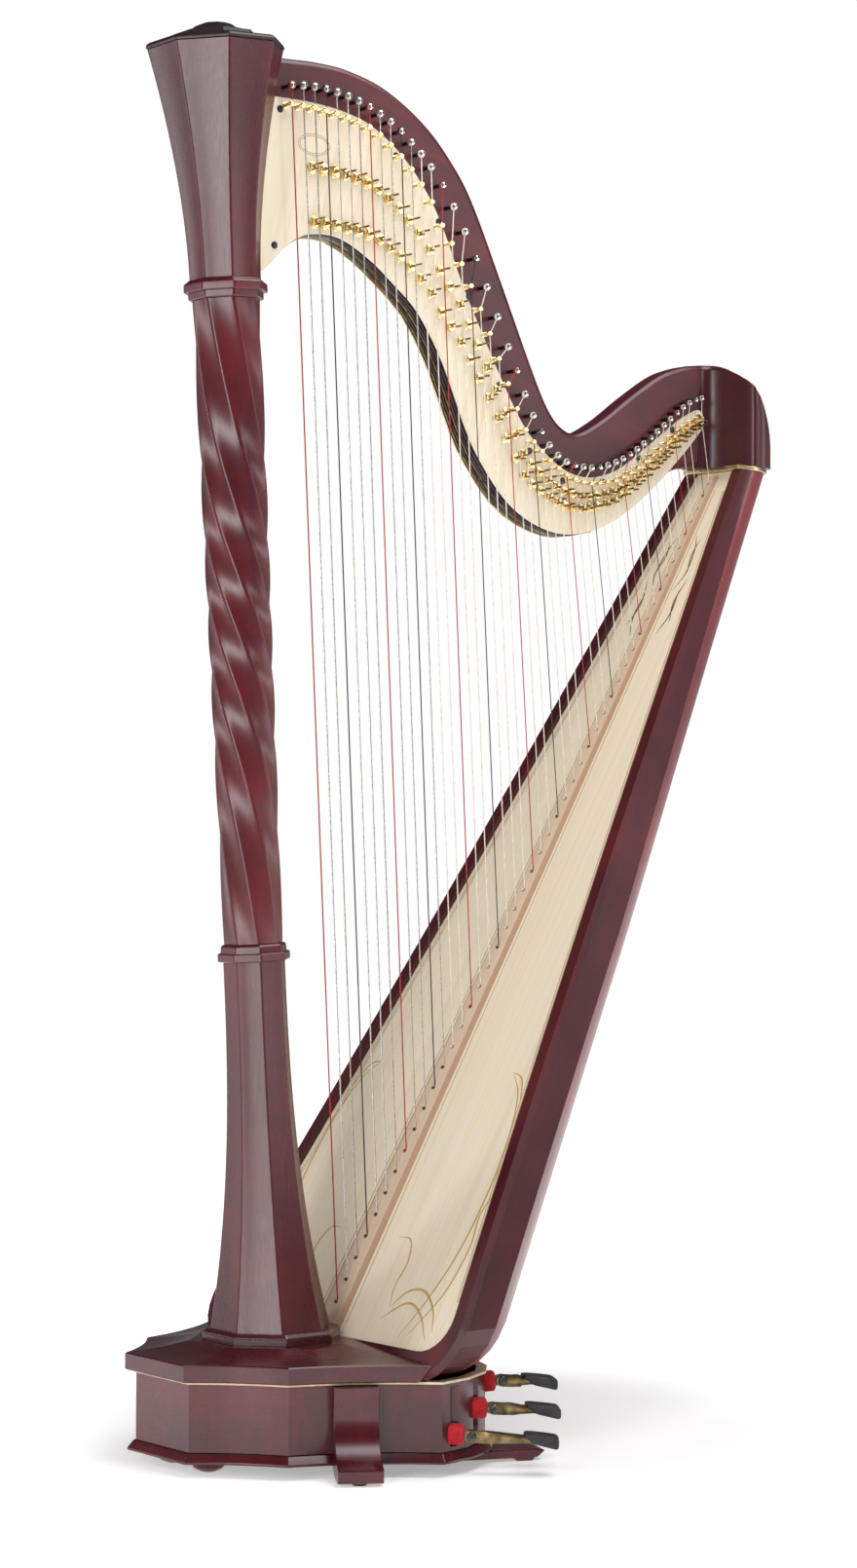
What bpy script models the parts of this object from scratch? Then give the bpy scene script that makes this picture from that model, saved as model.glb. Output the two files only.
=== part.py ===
"""Concert pedal harp, 47 strings, twisted octagonal column.

Frame: metres, +Z up, floor at Z = 0, +X from the column towards the player,
-Y is the side the strings and the C, D and B pedals are on.
"""
import math

import bmesh
import bpy
from mathutils import Matrix, Vector

# ---------------------------------------------------------------- overall sizes
GAP = 0.0003                     # between two touching pieces
ORIGIN_SHIFT = -0.3399           # from the column foot to the middle of the depth

# base
PLATE_BOTTOM = 0.017             # underside of the bottom plate
WALL_BOTTOM = 0.030              # pedal box walls
WALL_TOP = 0.1165
MOULD_BOTTOM = 0.1205            # projecting top moulding
MOULD_EDGE = 0.143
PLINTH_BOTTOM = 0.155
PLINTH_TOP = 0.170
WALL_THICK = 0.012
MOULD_OUT = 0.013                # how far the moulding stands out from the walls
SKIRT_OUT = 0.010
FRONT_X = -0.170
# half plan of the pedal box, front to back, y > 0
BOX_HALF = [(FRONT_X, 0.062), (-0.080, 0.153), (0.090, 0.250), (0.140, 0.238),
            (0.190, 0.210), (0.222, 0.172), (0.242, 0.120), (0.248, 0.045)]
BOX_SAG = [0.006, 0.012, 0, 0, 0, 0, 0]      # hollow of each wall from front to back

# column
LEAN = math.radians(3.33)
COLUMN_X = -0.003
BORE = 0.015                     # for the pedal rods
LOWER_LEN = 0.480
LOWER_COLLAR = 0.023
TWIST_LEN = 0.8384
UPPER_COLLAR = 0.026
CAPITAL_LEN = 0.2987
TWIST_TURN = math.radians(315)
TWIST_R0 = 0.0395
TWIST_R1 = 0.0455
CAPITAL_R = 0.0905
CAP_TOP = 0.035                  # height of the lid and its dome above the capital
TWIST_START = LOWER_LEN + LOWER_COLLAR + GAP
TWIST_END = TWIST_START + TWIST_LEN
CAPITAL_START = TWIST_END + UPPER_COLLAR + 2 * GAP
CAPITAL_END = CAPITAL_START + CAPITAL_LEN

# soundbox, measured along the soundboard from its visible lower edge
BOARD_FOOT = Vector((0.086, 0.0, 0.152))
BOARD_TILT = math.radians(30.25)             # from the vertical
BOARD_LEN = 1.3811                           # to the brass band
BOARD_HALF_LOW = 0.262
BOARD_HALF_TOP = 0.0408
BOARD_SAG = 0.0343                           # hollow of the long edges
BOARD_THICK = 0.006
TRIM_WIDE = 0.019
TRIM_DEEP = 0.0125
SHELL_BOTTOM = MOULD_BOTTOM
SHELL_TOP = BOARD_FOOT.z + BOARD_LEN * math.cos(BOARD_TILT)
SHELL_THICK = 0.0055
SHELL_DEEP_LOW = 0.1550                      # across the board, at the foot and at the top
SHELL_DEEP_TOP = 0.0645
SIDE_DEEP_LOW = 0.045                        # flat side before the half-round back
SIDE_DEEP_TOP = 0.013
CREASE = math.radians(20)                    # where the round back leaves the flat side
HOLES = [(0.26, 0.062, 0.095), (0.52, 0.052, 0.085), (0.76, 0.042, 0.075),
         (0.96, 0.034, 0.062), (1.13, 0.026, 0.050)]     # station, half width, half length
FERRULE = 0.0065

# neck
PLATE_NEAR = 0.012               # face of the near action plate
PLATE_THICK = 0.0048
NECK_NEAR = PLATE_NEAR + PLATE_THICK + GAP
NECK_FAR = 0.052
FAR_PLATE = 0.003
NECK_END = 0.760                 # where the neck meets the crown
DRAWN_COLUMN = 1.6670            # the neck lines are drawn for this column and this height of the box
DRAWN_BOX = 1.3450

# strings
STRINGS = 47
STRING_R = 0.0005
PIN_R = 0.003
FIRST_PIN = 0.0206
PIN_STEP = 0.0188                # bass spacing on the neck, and how fast it narrows
PIN_CLOSE = 0.0000655
FIRST_FOOT = 0.045
LAST_FOOT_GAP = 0.0229           # last string foot below the top of the board
FOOT_CLOSE = 0.00000177

# pedals, left foot side then right foot side
HINGE_X = -0.132
HINGE_Z = 0.078
NOTCH = 0.0258                   # height between two pedal notches
LEVER_HALF = 0.0035
BOLT_OUT = 0.023                 # fold bolt beyond the slot
PEDALS = {                       # hinge y, slot x, slot y, rest notch, foot length
    "D": (-0.048, 0.115, -0.244, "sharp", 0.112),
    "C": (-0.032, 0.165, -0.224, "natural", 0.087),
    "B": (-0.016, 0.206, -0.191, "flat", 0.073),
    "E": (0.000, 0.232, 0.146, "flat", 0.070),
    "F": (0.016, 0.206, 0.191, "natural", 0.073),
    "G": (0.032, 0.165, 0.224, "natural", 0.087),
    "A": (0.048, 0.115, 0.244, "flat", 0.112),
}
NOTCH_POS = {"flat": 0, "natural": 1, "sharp": 2}
DISC_TURN = math.radians(45)     # from flat to sharp
DISC_SHARE = 0.42                # half size of a disc to the distance between two discs
SPINDLE_R = 0.002
ACTION_FIRST = 21                # lowest string of the octave whose discs turn
OCTAVE = ["C", "D", "E", "F", "G", "A", "B"]

# ---------------------------------------------------------------- scene
for ob in list(bpy.data.objects):
    bpy.data.objects.remove(ob, do_unlink=True)

PART = bpy.data.collections.new("concert_harp")
bpy.context.scene.collection.children.link(PART)
CUTTERS = bpy.data.collections.new("cutters")
bpy.context.scene.collection.children.link(CUTTERS)


def material(name, colour, metallic=0.0, roughness=0.4):
    mat = bpy.data.materials.new(name)
    mat.use_nodes = True
    shader = mat.node_tree.nodes["Principled BSDF"]
    shader.inputs["Base Color"].default_value = (*colour, 1)
    shader.inputs["Metallic"].default_value = metallic
    shader.inputs["Roughness"].default_value = roughness
    return mat


MAHOGANY = material("mahogany_stain", (0.12, 0.025, 0.022))
MAPLE = material("maple", (0.80, 0.68, 0.48))
SPRUCE = material("spruce", (0.78, 0.68, 0.50))
BRASS = material("brass", (0.72, 0.50, 0.18), 1, 0.3)
STEEL = material("steel", (0.55, 0.55, 0.55), 1, 0.35)
FRAME = material("frame_steel", (0.20, 0.20, 0.20), 1, 0.5)
PEDAL_FOOT = material("pedal_brass", (0.45, 0.33, 0.14), 1, 0.4)
NYLON = material("string_nylon", (0.85, 0.83, 0.78), 0, 0.4)


# ---------------------------------------------------------------- helpers
def add(name, verts, faces, mat, collection=PART):
    mesh = bpy.data.meshes.new(name)
    mesh.from_pydata([tuple(v) for v in verts], [], faces)
    bm = bmesh.new()
    bm.from_mesh(mesh)
    bmesh.ops.recalc_face_normals(bm, faces=bm.faces)
    bm.to_mesh(mesh)
    bm.free()
    ob = bpy.data.objects.new(name, mesh)
    if mat:
        mesh.materials.append(mat)
    collection.objects.link(ob)
    if collection is CUTTERS:
        ob.hide_render = True
        ob.display_type = "WIRE"
    return ob


def loft(name, rings, mat, inner=None, collection=PART):
    """Closed body through equal-count rings; inner rings at both ends make it a tube."""
    count = len(rings[0])
    verts = [v for ring in rings for v in ring]
    faces = []
    for k in range(len(rings) - 1):
        for i in range(count):
            j = (i + 1) % count
            faces.append((k * count + i, k * count + j, (k + 1) * count + j, (k + 1) * count + i))
    last = (len(rings) - 1) * count
    if inner is None:
        faces.append(tuple(range(count)))
        faces.append(tuple(range(last, last + count)))
        return add(name, verts, faces, mat, collection)
    base = len(verts)
    verts += list(inner[0]) + list(inner[1])
    for i in range(count):
        j = (i + 1) % count
        faces.append((base + i, base + j, base + count + j, base + count + i))
        faces.append((i, j, base + j, base + i))
        faces.append((last + i, last + j, base + count + j, base + count + i))
    return add(name, verts, faces, mat, collection)


def prism(name, outline, low, high, plane, mat, collection=PART):
    """Flat outline extruded along the missing axis of the plane."""
    def put(a, b, c):
        return {"xy": (a, b, c), "xz": (a, c, b), "yz": (c, a, b)}[plane]
    rings = [[put(a, b, level) for a, b in outline] for level in (low, high)]
    return loft(name, rings, mat, collection=collection)


def combine(target, tool, operation="DIFFERENCE"):
    mod = target.modifiers.new(tool.name, "BOOLEAN")
    mod.operation = operation
    mod.object = tool
    mod.solver = "EXACT"
    return target


def place(ob, matrix):
    ob.matrix_world = matrix
    return ob


def smooth_line(points, per=3):
    """Catmull-Rom curve through the points, ends kept."""
    pts = [Vector((*p, 0)) for p in points]
    ext = [2 * pts[0] - pts[1]] + pts + [2 * pts[-1] - pts[-2]]
    out = []
    for k in range(1, len(ext) - 2):
        p0, p1, p2, p3 = ext[k - 1:k + 3]
        for s in range(per):
            t = s / per
            q = 0.5 * (2 * p1 + (p2 - p0) * t + (2 * p0 - 5 * p1 + 4 * p2 - p3) * t * t
                       + (3 * p1 - p0 - 3 * p2 + p3) * t ** 3)
            out.append((q.x, q.y))
    out.append(tuple(points[-1]))
    return out


def height_on(line, x):
    for (x0, z0), (x1, z1) in zip(line, line[1:]):
        if x0 <= x <= x1:
            return z0 + (z1 - z0) * (x - x0) / (x1 - x0)
    return line[0][1] if x < line[0][0] else line[-1][1]


def polygon(radius, z, sides=8, turn=math.radians(22.5), centre=(0.0, 0.0)):
    return [Vector((centre[0] + radius * math.cos(turn + i * 2 * math.pi / sides),
                    centre[1] + radius * math.sin(turn + i * 2 * math.pi / sides), z))
            for i in range(sides)]


def rod(name, radius, low, high, mat, sides=8, collection=PART, at=(0.0, 0.0)):
    rings = [polygon(radius, low, sides, 0.0, at), polygon(radius, high, sides, 0.0, at)]
    return loft(name, rings, mat, collection=collection)


# ---------------------------------------------------------------- base
def offset_outline(points, amount):
    """Closed plan moved outwards by amount with mitred corners."""
    out = []
    count = len(points)
    for i in range(count):
        a, b, c = (Vector(points[k % count]) for k in (i - 1, i, i + 1))
        d0, d1 = (b - a).normalized(), (c - b).normalized()
        n0, n1 = Vector((d0.y, -d0.x)), Vector((d1.y, -d1.x))
        mitre = (n0 + n1).normalized()
        out.append(tuple(b + mitre * (amount / max(0.5, mitre.dot(n0)))))
    return out


def box_plan(arc=5):
    """Anticlockwise plan of the pedal box with its hollow walls."""
    half = []
    for (p, q), sag in zip(zip(BOX_HALF, BOX_HALF[1:]), BOX_SAG):
        a, b = Vector(p), Vector(q)
        side = Vector(((b - a).y, -(b - a).x)).normalized()
        steps = arc if sag else 1
        for s in range(steps):
            t = s / steps
            half.append(tuple(a.lerp(b, t) + side * sag * 4 * t * (1 - t)))
    half.append(BOX_HALF[-1])
    mirrored = [(x, -y) for x, y in half]
    return mirrored + half[::-1]


PLAN = box_plan()


def plan_ring(amount, z):
    return [Vector((x, y, z)) for x, y in offset_outline(PLAN, amount)]


def board_matrix():
    up = Vector((math.sin(BOARD_TILT), 0, math.cos(BOARD_TILT)))
    back = Vector((0, 1, 0)).cross(up)
    rot = Matrix((Vector((0, 1, 0)), up, back)).transposed()
    return Matrix.Translation(BOARD_FOOT) @ rot.to_4x4()


BOARD = board_matrix()                       # local x across, y along, z into the box


def build_base():
    box = loft("pedal_box", [plan_ring(0, WALL_BOTTOM), plan_ring(0, WALL_TOP)], MAHOGANY,
               inner=[plan_ring(-WALL_THICK, WALL_BOTTOM), plan_ring(-WALL_THICK, WALL_TOP)])
    for name, (hinge_y, slot_x, slot_y, _, _) in PEDALS.items():
        angle = math.atan2(slot_y - hinge_y, slot_x - HINGE_X)
        slot = prism("slot_" + name, [(-0.035, -0.0065), (0.035, -0.0065), (0.035, 0.0065),
                                      (-0.035, 0.0065)], 0.036, 0.1125, "xy", None, CUTTERS)
        place(slot, Matrix.Translation((slot_x, slot_y, 0)) @ Matrix.Rotation(angle, 4, "Z"))
        combine(box, slot)

    loft("purfling", [plan_ring(0.002, WALL_TOP + GAP), plan_ring(0.002, MOULD_BOTTOM - GAP)], MAPLE,
         inner=[plan_ring(-0.012, WALL_TOP + GAP), plan_ring(-0.012, MOULD_BOTTOM - GAP)])

    rings = [plan_ring(SKIRT_OUT, PLATE_BOTTOM), plan_ring(SKIRT_OUT, PLATE_BOTTOM + 0.003),
             plan_ring(0.003, WALL_BOTTOM - GAP)]
    loft("skirt", rings, MAHOGANY,
         inner=[plan_ring(0, PLATE_BOTTOM), plan_ring(0, WALL_BOTTOM - GAP)])

    # bottom plate with the hinge brackets and the two front feet
    plate = prism("pedal_frame", offset_outline(PLAN, -GAP), PLATE_BOTTOM + 0.004,
                  WALL_BOTTOM - GAP, "xy", FRAME)
    for name, (hinge_y, slot_x, slot_y, _, _) in PEDALS.items():
        angle = math.atan2(slot_y - hinge_y, slot_x - HINGE_X)
        frame = Matrix.Translation((HINGE_X, hinge_y, 0)) @ Matrix.Rotation(angle, 4, "Z")
        cheek = prism("cheek_" + name, [(-0.007, WALL_BOTTOM - 0.002), (0.007, WALL_BOTTOM - 0.002),
                                        (0.005, HINGE_Z + 0.006), (-0.005, HINGE_Z + 0.006)],
                      LEVER_HALF + 0.0006, LEVER_HALF + 0.0050, "xz", None, CUTTERS)
        place(cheek, frame)
        combine(plate, cheek, "UNION")
        pin = rod("hinge_pin_" + name, 0.003, -0.0035, LEVER_HALF + 0.002, None, 12, CUTTERS)
        place(pin, frame @ Matrix.Translation((0, 0, HINGE_Z)) @ Matrix.Rotation(-math.pi / 2, 4, "X"))
        combine(plate, pin, "UNION")
    for side, y in (("left", -0.040), ("right", 0.040)):
        rings = [polygon(r, z, 16, 0, (-0.125, y)) for r, z in
                 ((0.010, 0.0), (0.018, 0.004), (0.020, 0.010), (0.018, PLATE_BOTTOM + 0.005))]
        combine(plate, loft("front_foot_" + side, rings, None, collection=CUTTERS), "UNION")

    build_legs()
    build_base_top()


def build_legs():
    """Two scrolled legs on the side walls and two tail feet behind."""
    for side, sign in (("left", -1), ("right", 1)):
        a, b = Vector((-0.026, sign * 0.174)), Vector((0.024, sign * 0.203))
        along = (b - a).normalized()
        out = Vector((along.y, -along.x)) * -sign
        mid = (a + b) / 2
        profile = [(0.0, WALL_TOP - 0.001), (0.020, WALL_TOP - 0.001), (0.016, 0.090), (0.016, 0.070),
                   (0.021, 0.050), (0.033, 0.034), (0.056, 0.022), (0.068, 0.021), (0.068, 0.005),
                   (0.055, 0.0045), (0.055, 0.0), (0.040, 0.0), (0.040, 0.0045), (0.0, 0.012)]
        rings = [[Vector((*(mid + out * d + along * w), z)) for d, z in profile]
                 for w in (-0.029, 0.029)]
        leg = loft("leg_" + side, rings, MAHOGANY)
        clear = prism("leg_clear_" + side, offset_outline(PLAN, SKIRT_OUT + GAP),
                      PLATE_BOTTOM - 0.02, WALL_BOTTOM, "xy", None, CUTTERS)
        combine(leg, clear)
        wall = prism("wall_clear_" + side, offset_outline(PLAN, GAP), WALL_BOTTOM - 0.002,
                     WALL_TOP + 0.01, "xy", None, CUTTERS)
        combine(leg, wall)

        # tail foot under the plate, reaching back past the pedals
        turn = Matrix.Translation((0.16, sign * 0.160, 0)) @ Matrix.Rotation(sign * 0.36, 4, "Z")
        outline = [(-0.06, PLATE_BOTTOM - GAP), (0.118, PLATE_BOTTOM - GAP), (0.132, 0.0125), (0.122, 0.004),
                   (0.116, 0.004), (0.116, 0.0), (0.092, 0.0), (0.092, 0.004), (-0.045, 0.004)]
        tail = prism("tail_foot_" + side, outline, -0.032, 0.032, "xz", MAHOGANY)
        place(tail, turn)


def build_base_top():
    low = offset_outline(PLAN, MOULD_OUT)
    count = len(low)
    # the upper surface sweeps from the moulding edge to an octagon under the column
    oct_r = 0.108
    rings = [[Vector((x, y, MOULD_BOTTOM)) for x, y in low],
             [Vector((x, y, MOULD_EDGE)) for x, y in low]]
    corners = polygon(oct_r, PLINTH_BOTTOM - GAP)
    inner = []
    for x, y in low:
        direction = math.atan2(y, x)
        # point of the octagon in this direction
        sector = (direction - math.radians(22.5)) % (math.pi / 4) - math.pi / 8
        radius = oct_r * math.cos(math.pi / 8) / math.cos(sector)
        inner.append(Vector((radius * math.cos(direction), radius * math.sin(direction), 0)))
    for t, z in ((0.35, MOULD_EDGE + 0.0025), (0.7, MOULD_EDGE + 0.0065), (1.0, PLINTH_BOTTOM - GAP)):
        rings.append([Vector((low[i][0] + (inner[i].x - low[i][0]) * t,
                              low[i][1] + (inner[i].y - low[i][1]) * t, z)) for i in range(count)])
    top = loft("base_top", rings, MAHOGANY)
    # stop short of the soundbox
    back = prism("base_top_back", [(-0.6, -0.4), (0.6, -0.4), (0.6, 0.4), (-0.6, 0.4)],
                 -TRIM_DEEP + BOARD_THICK - GAP, 0.6, "xy", None, CUTTERS)
    place(back, BOARD)
    combine(top, back)
    combine(top, place(rod("base_top_bore", BORE + 0.001, -0.08, 0.05, None, 16, CUTTERS), AXIS))
    ring = [polygon(0.093, PLINTH_BOTTOM), polygon(0.093, PLINTH_TOP - 0.003),
            polygon(0.090, PLINTH_TOP - GAP)]
    plinth = loft("plinth", ring, MAHOGANY)
    combine(plinth, place(rod("plinth_bore", BORE, -0.04, 0.04, None, 16, CUTTERS), AXIS))
    combine(plinth, back)


# ---------------------------------------------------------------- column
AXIS = Matrix.Translation((COLUMN_X, 0, PLINTH_TOP)) @ Matrix.Rotation(-LEAN, 4, "Y")


def lower_radius(s):
    """Hollow flare that widens towards the plinth."""
    t = 1 - s / LOWER_LEN
    return 0.0415 + 0.0385 * t ** 2.6


def capital_radius(s):
    t = (s - CAPITAL_START) / CAPITAL_LEN
    return 0.0478 + (CAPITAL_R - 0.0478) * t ** 1.75


def bored(name, sections, mat):
    rings = [polygon(r, s, 8, math.radians(22.5) + turn) for s, r, turn in sections]
    ob = place(loft(name, rings, mat), AXIS)
    s0, s1 = sections[0][0], sections[-1][0]
    hole = rod("bore_" + name, BORE, s0 - 0.02, s1 + 0.02, None, 12, CUTTERS)
    combine(ob, place(hole, AXIS))
    return ob


def build_column():
    steps = 8
    flare = [LOWER_LEN * (k / steps) ** 1.2 for k in range(1, steps + 1)]
    lower = bored("column_lower", [(-0.012, 0.0825, 0)] + [(s, lower_radius(s), 0) for s in flare],
                  MAHOGANY)
    level = prism("plinth_level", [(-0.3, -0.3), (0.3, -0.3), (0.3, 0.3), (-0.3, 0.3)],
                  PLINTH_TOP - 0.2, PLINTH_TOP, "xy", None, CUTTERS)
    combine(lower, level)
    s = LOWER_LEN + GAP
    bored("lower_collar", [(s, 0.0487, 0), (s + 0.011, 0.0487, 0), (s + 0.012, 0.044, 0),
                           (s + LOWER_COLLAR - 2 * GAP, 0.044, 0)], MAHOGANY)
    rings = []
    count = 44
    for k in range(count + 1):
        t = k / count
        ease = t - math.sin(2 * math.pi * t) / (2 * math.pi) * 0.45
        rings.append((TWIST_START + TWIST_LEN * t,
                      TWIST_R0 + (TWIST_R1 - TWIST_R0) * t, -TWIST_TURN * ease))
    bored("column_twist", rings, MAHOGANY)
    s = TWIST_END + GAP
    bored("upper_collar", [(s, 0.0505, 0), (s + 0.009, 0.0505, 0), (s + 0.010, 0.0562, 0),
                           (s + 0.020, 0.0562, 0), (s + UPPER_COLLAR - 0.0005, 0.0500, 0)], MAHOGANY)
    steps = 9
    heights = [CAPITAL_START + CAPITAL_LEN * k / steps for k in range(steps + 1)]
    bored("capital", [(s, capital_radius(s), 0) for s in heights], MAHOGANY)
    s = CAPITAL_END + GAP
    lid = [(s, 0.0925), (s + 0.006, 0.0925), (s + 0.010, 0.086), (s + 0.012, 0.060), (s + 0.020, 0.055),
           (s + 0.022, 0.034), (s + 0.031, 0.026), (s + CAP_TOP, 0.012)]
    place(loft("capital_lid", [polygon(r, z) for z, r in lid], MAHOGANY), AXIS)

    for i, name in enumerate(PEDALS):
        angle = i * math.pi / 3
        x, y = (0.0095 * math.cos(angle), 0.0095 * math.sin(angle)) if i < 6 else (0.0, 0.0)
        bar = rod("pedal_rod_" + name, 0.0015, -0.034, CAPITAL_END - 0.067, STEEL)
        place(bar, AXIS @ Matrix.Translation((x, y, 0)))


# ---------------------------------------------------------------- soundbox
def board_half(s):
    t = s / BOARD_LEN
    return BOARD_HALF_LOW + (BOARD_HALF_TOP - BOARD_HALF_LOW - BOARD_SAG) * t + BOARD_SAG * t * t


def corner(s, start, radius):
    """How much the rounded lower corner takes off the half width."""
    if s >= start + radius:
        return 0.0
    drop = min(radius, start + radius - s)
    return radius - math.sqrt(radius * radius - drop * drop)


def board_outline(extra, start, radius, end):
    stations = [start + radius * (1 - math.cos(k * math.pi / 14)) for k in range(1, 7)]
    stations += [start + radius + (end - start - radius) * k / 10 for k in range(11)]
    half = [(board_half(s) + extra - corner(s, start, radius), s) for s in stations]
    half.insert(0, (board_half(start) + extra - radius, start))
    return half + [(-x, s) for x, s in half[::-1]]


def build_soundbox():
    board = prism("soundboard", board_outline(0, 0, 0.055, BOARD_LEN + 0.02), 0, BOARD_THICK, "xy", SPRUCE)
    place(board, BOARD)
    foot = (SHELL_BOTTOM - BOARD_FOOT.z) / math.cos(BOARD_TILT) - 0.004
    trim = prism("edge_trim", board_outline(TRIM_WIDE, foot, 0.085, BOARD_LEN + 0.04),
                 BOARD_THICK - TRIM_DEEP, BOARD_THICK, "xy", MAHOGANY)
    place(trim, BOARD)
    inside = prism("trim_inside", board_outline(GAP, -GAP, 0.055, BOARD_LEN + 0.1),
                   -0.03, 0.03, "xy", None, CUTTERS)
    place(inside, BOARD)
    combine(trim, inside)
    # both stop at the level of the brass band and at the pedal box
    above = prism("above_box", [(-0.5, -0.5), (1.5, -0.5), (1.5, 0.5), (-0.5, 0.5)],
                  SHELL_TOP, SHELL_TOP + 0.5, "xy", None, CUTTERS)
    below = prism("below_box", [(-0.5, -0.5), (1.5, -0.5), (1.5, 0.5), (-0.5, 0.5)],
                  SHELL_BOTTOM - 0.4, SHELL_BOTTOM, "xy", None, CUTTERS)
    combine(board, above)
    combine(trim, above)
    combine(trim, below)

    # the shell is lofted through level slices
    slope, run = math.tan(BOARD_TILT), math.cos(BOARD_TILT)
    rings = []
    levels = [SHELL_BOTTOM, 0.135, 0.155, 0.185, 0.25]
    levels += [0.25 + (SHELL_TOP - 0.25) * k / 7 for k in range(1, 8)]
    for z in levels:
        rings.append(shell_slice(z, slope, run, 0) + shell_slice(z, slope, run, SHELL_THICK)[::-1])
    shell = loft("soundbox", rings, MAHOGANY)
    bm = bmesh.new()
    bm.from_mesh(shell.data)
    bmesh.ops.triangulate(bm, faces=bm.faces)
    bm.to_mesh(shell.data)
    bm.free()
    verts, faces = [], []
    for station, half, length in HOLES:
        base = len(verts)
        for depth in (0.030, 0.240):
            for i in range(20):
                a = (i + 0.5) * math.pi / 10
                end = (length - half) * (1 if math.sin(a) > 0 else -1)
                verts.append((half * math.cos(a), station + 0.03 + end + half * math.sin(a), depth))
        faces += [(base + i, base + (i + 1) % 20, base + 20 + (i + 1) % 20, base + 20 + i)
                  for i in range(20)]
        faces += [tuple(range(base, base + 20)), tuple(range(base + 20, base + 40))]
    combine(shell, place(add("sound_holes", verts, faces, None, CUTTERS), BOARD))

    top = shell_slice(SHELL_TOP, slope, run, -0.0015)
    front = BOARD_FOOT.x + (SHELL_TOP - BOARD_FOOT.z) * slope - TRIM_DEEP
    top[0], top[-1] = (front, top[0].y), (front, top[-1].y)
    prism("brass_band", [(p[0], p[1]) for p in top], SHELL_TOP + GAP, SHELL_TOP + FERRULE, "xy", BRASS)


def shell_depths(s):
    """Depth of the flat side and of the half-round back behind it."""
    grow = min(1.0, max(0.0, s / BOARD_LEN))
    late = max(0.0, (grow - 0.45) / 0.55)
    side = SIDE_DEEP_LOW - (SIDE_DEEP_LOW - SIDE_DEEP_TOP) * late ** 1.2
    return side, SHELL_DEEP_LOW - (SHELL_DEEP_LOW - SHELL_DEEP_TOP) * grow ** 1.35 - side


def shell_slice(z, slope, run, inset):
    """Half-round level slice of the box, from the near front edge round the back to the far one."""
    s = (z - BOARD_FOOT.z) / run
    front = BOARD_FOOT.x + (z - BOARD_FOOT.z) * slope + (BOARD_THICK + GAP) / run
    half = board_half(max(0.0, s)) + TRIM_WIDE - 0.002 - corner(s, -0.04, 0.085) - inset
    side, deep = (d / run for d in shell_depths(s))
    deep -= inset
    side_half = half - 0.002
    points = [(front, half)]
    for i in range(13):
        a = CREASE + (math.pi - 2 * CREASE) * i / 12
        points.append((front + side + deep * (math.sin(a) - math.sin(CREASE)) / (1 - math.sin(CREASE)),
                       side_half * math.cos(a) / math.cos(CREASE)))
    points.append((front, -half))
    return [Vector((x, y, z)) for x, y in points]


# ---------------------------------------------------------------- neck
NECK_TOP = [(-0.045, 1.844), (-0.012, 1.8455), (0.012, 1.846), (0.038, 1.847), (0.075, 1.8485),
            (0.130, 1.845), (0.195, 1.827), (0.262, 1.787), (0.313, 1.736), (0.348, 1.684),
            (0.400, 1.578), (0.454, 1.465), (0.482, 1.415), (0.507, 1.391), (0.535, 1.386),
            (0.580, 1.409), (0.634, 1.447), (0.690, 1.482), (0.735, 1.498), (NECK_END, 1.502)]
PLATE_TOP = [(-0.045, 1.790), (0.007, 1.791), (0.063, 1.791), (0.120, 1.785), (0.168, 1.770),
             (0.218, 1.736), (0.260, 1.690), (0.289, 1.641), (0.320, 1.574), (0.355, 1.510),
             (0.398, 1.435), (0.433, 1.384), (0.469, 1.352), (0.504, 1.331), (0.540, 1.323),
             (0.577, 1.328), (0.613, 1.343), (0.668, 1.381), (0.720, 1.418), (0.755, 1.436)]
PLATE_LOW = [(-0.045, 1.548), (-0.015, 1.558), (0.009, 1.581), (0.032, 1.601), (0.064, 1.615),
             (0.112, 1.615), (0.161, 1.593), (0.202, 1.564), (0.245, 1.528), (0.287, 1.466),
             (0.329, 1.376), (0.356, 1.332), (0.400, 1.282), (0.450, 1.252), (0.505, 1.240),
             (0.560, 1.249), (0.613, 1.274), (0.669, 1.315), (0.725, 1.366), (0.758, 1.400)]
NECK_LOW = PLATE_LOW[:17] + [(0.662, 1.310), (0.700, 1.338), (0.732, 1.350), (NECK_END, 1.3525)]
PIN_LINE = [(0.0, 1.803), (0.040, 1.808), (0.075, 1.8085), (0.112, 1.804), (0.150, 1.794),
            (0.186, 1.778), (0.220, 1.755), (0.253, 1.727), (0.290, 1.682), (0.333, 1.609),
            (0.372, 1.531), (0.407, 1.458), (0.435, 1.402), (0.466, 1.361), (0.495, 1.341),
            (0.526, 1.3355), (0.559, 1.3375), (0.602, 1.353), (0.642, 1.378), (0.681, 1.408),
            (0.716, 1.4355), (0.740, 1.448), (0.755, 1.452)]
PIN_OFFSET = [(0, 0.0), (13, 0.0), (20, 0.020), (25, 0.0155), (33, 0.0183), (46, 0.005)]


def follow(points):
    """Neck line moved with the column at its front end and with the soundbox at its other end."""
    longer = CAPITAL_END - DRAWN_COLUMN
    rise, back = longer * math.cos(LEAN), longer * math.sin(LEAN)
    lift = SHELL_TOP - DRAWN_BOX
    out = []
    for x, z in points:
        t = min(1.0, max(0.0, x / NECK_END))
        out.append((x - (1 - t) * back + t * lift * math.tan(BOARD_TILT), z + (1 - t) * rise + t * lift))
    return out


NECK_TOP, PLATE_TOP, PLATE_LOW, NECK_LOW, PIN_LINE = (
    follow(line) for line in (NECK_TOP, PLATE_TOP, PLATE_LOW, NECK_LOW, PIN_LINE))
CROWN_X = follow([(NECK_END, DRAWN_BOX)])[0][0]
CROWN_LIFT = SHELL_TOP - DRAWN_BOX


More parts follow.
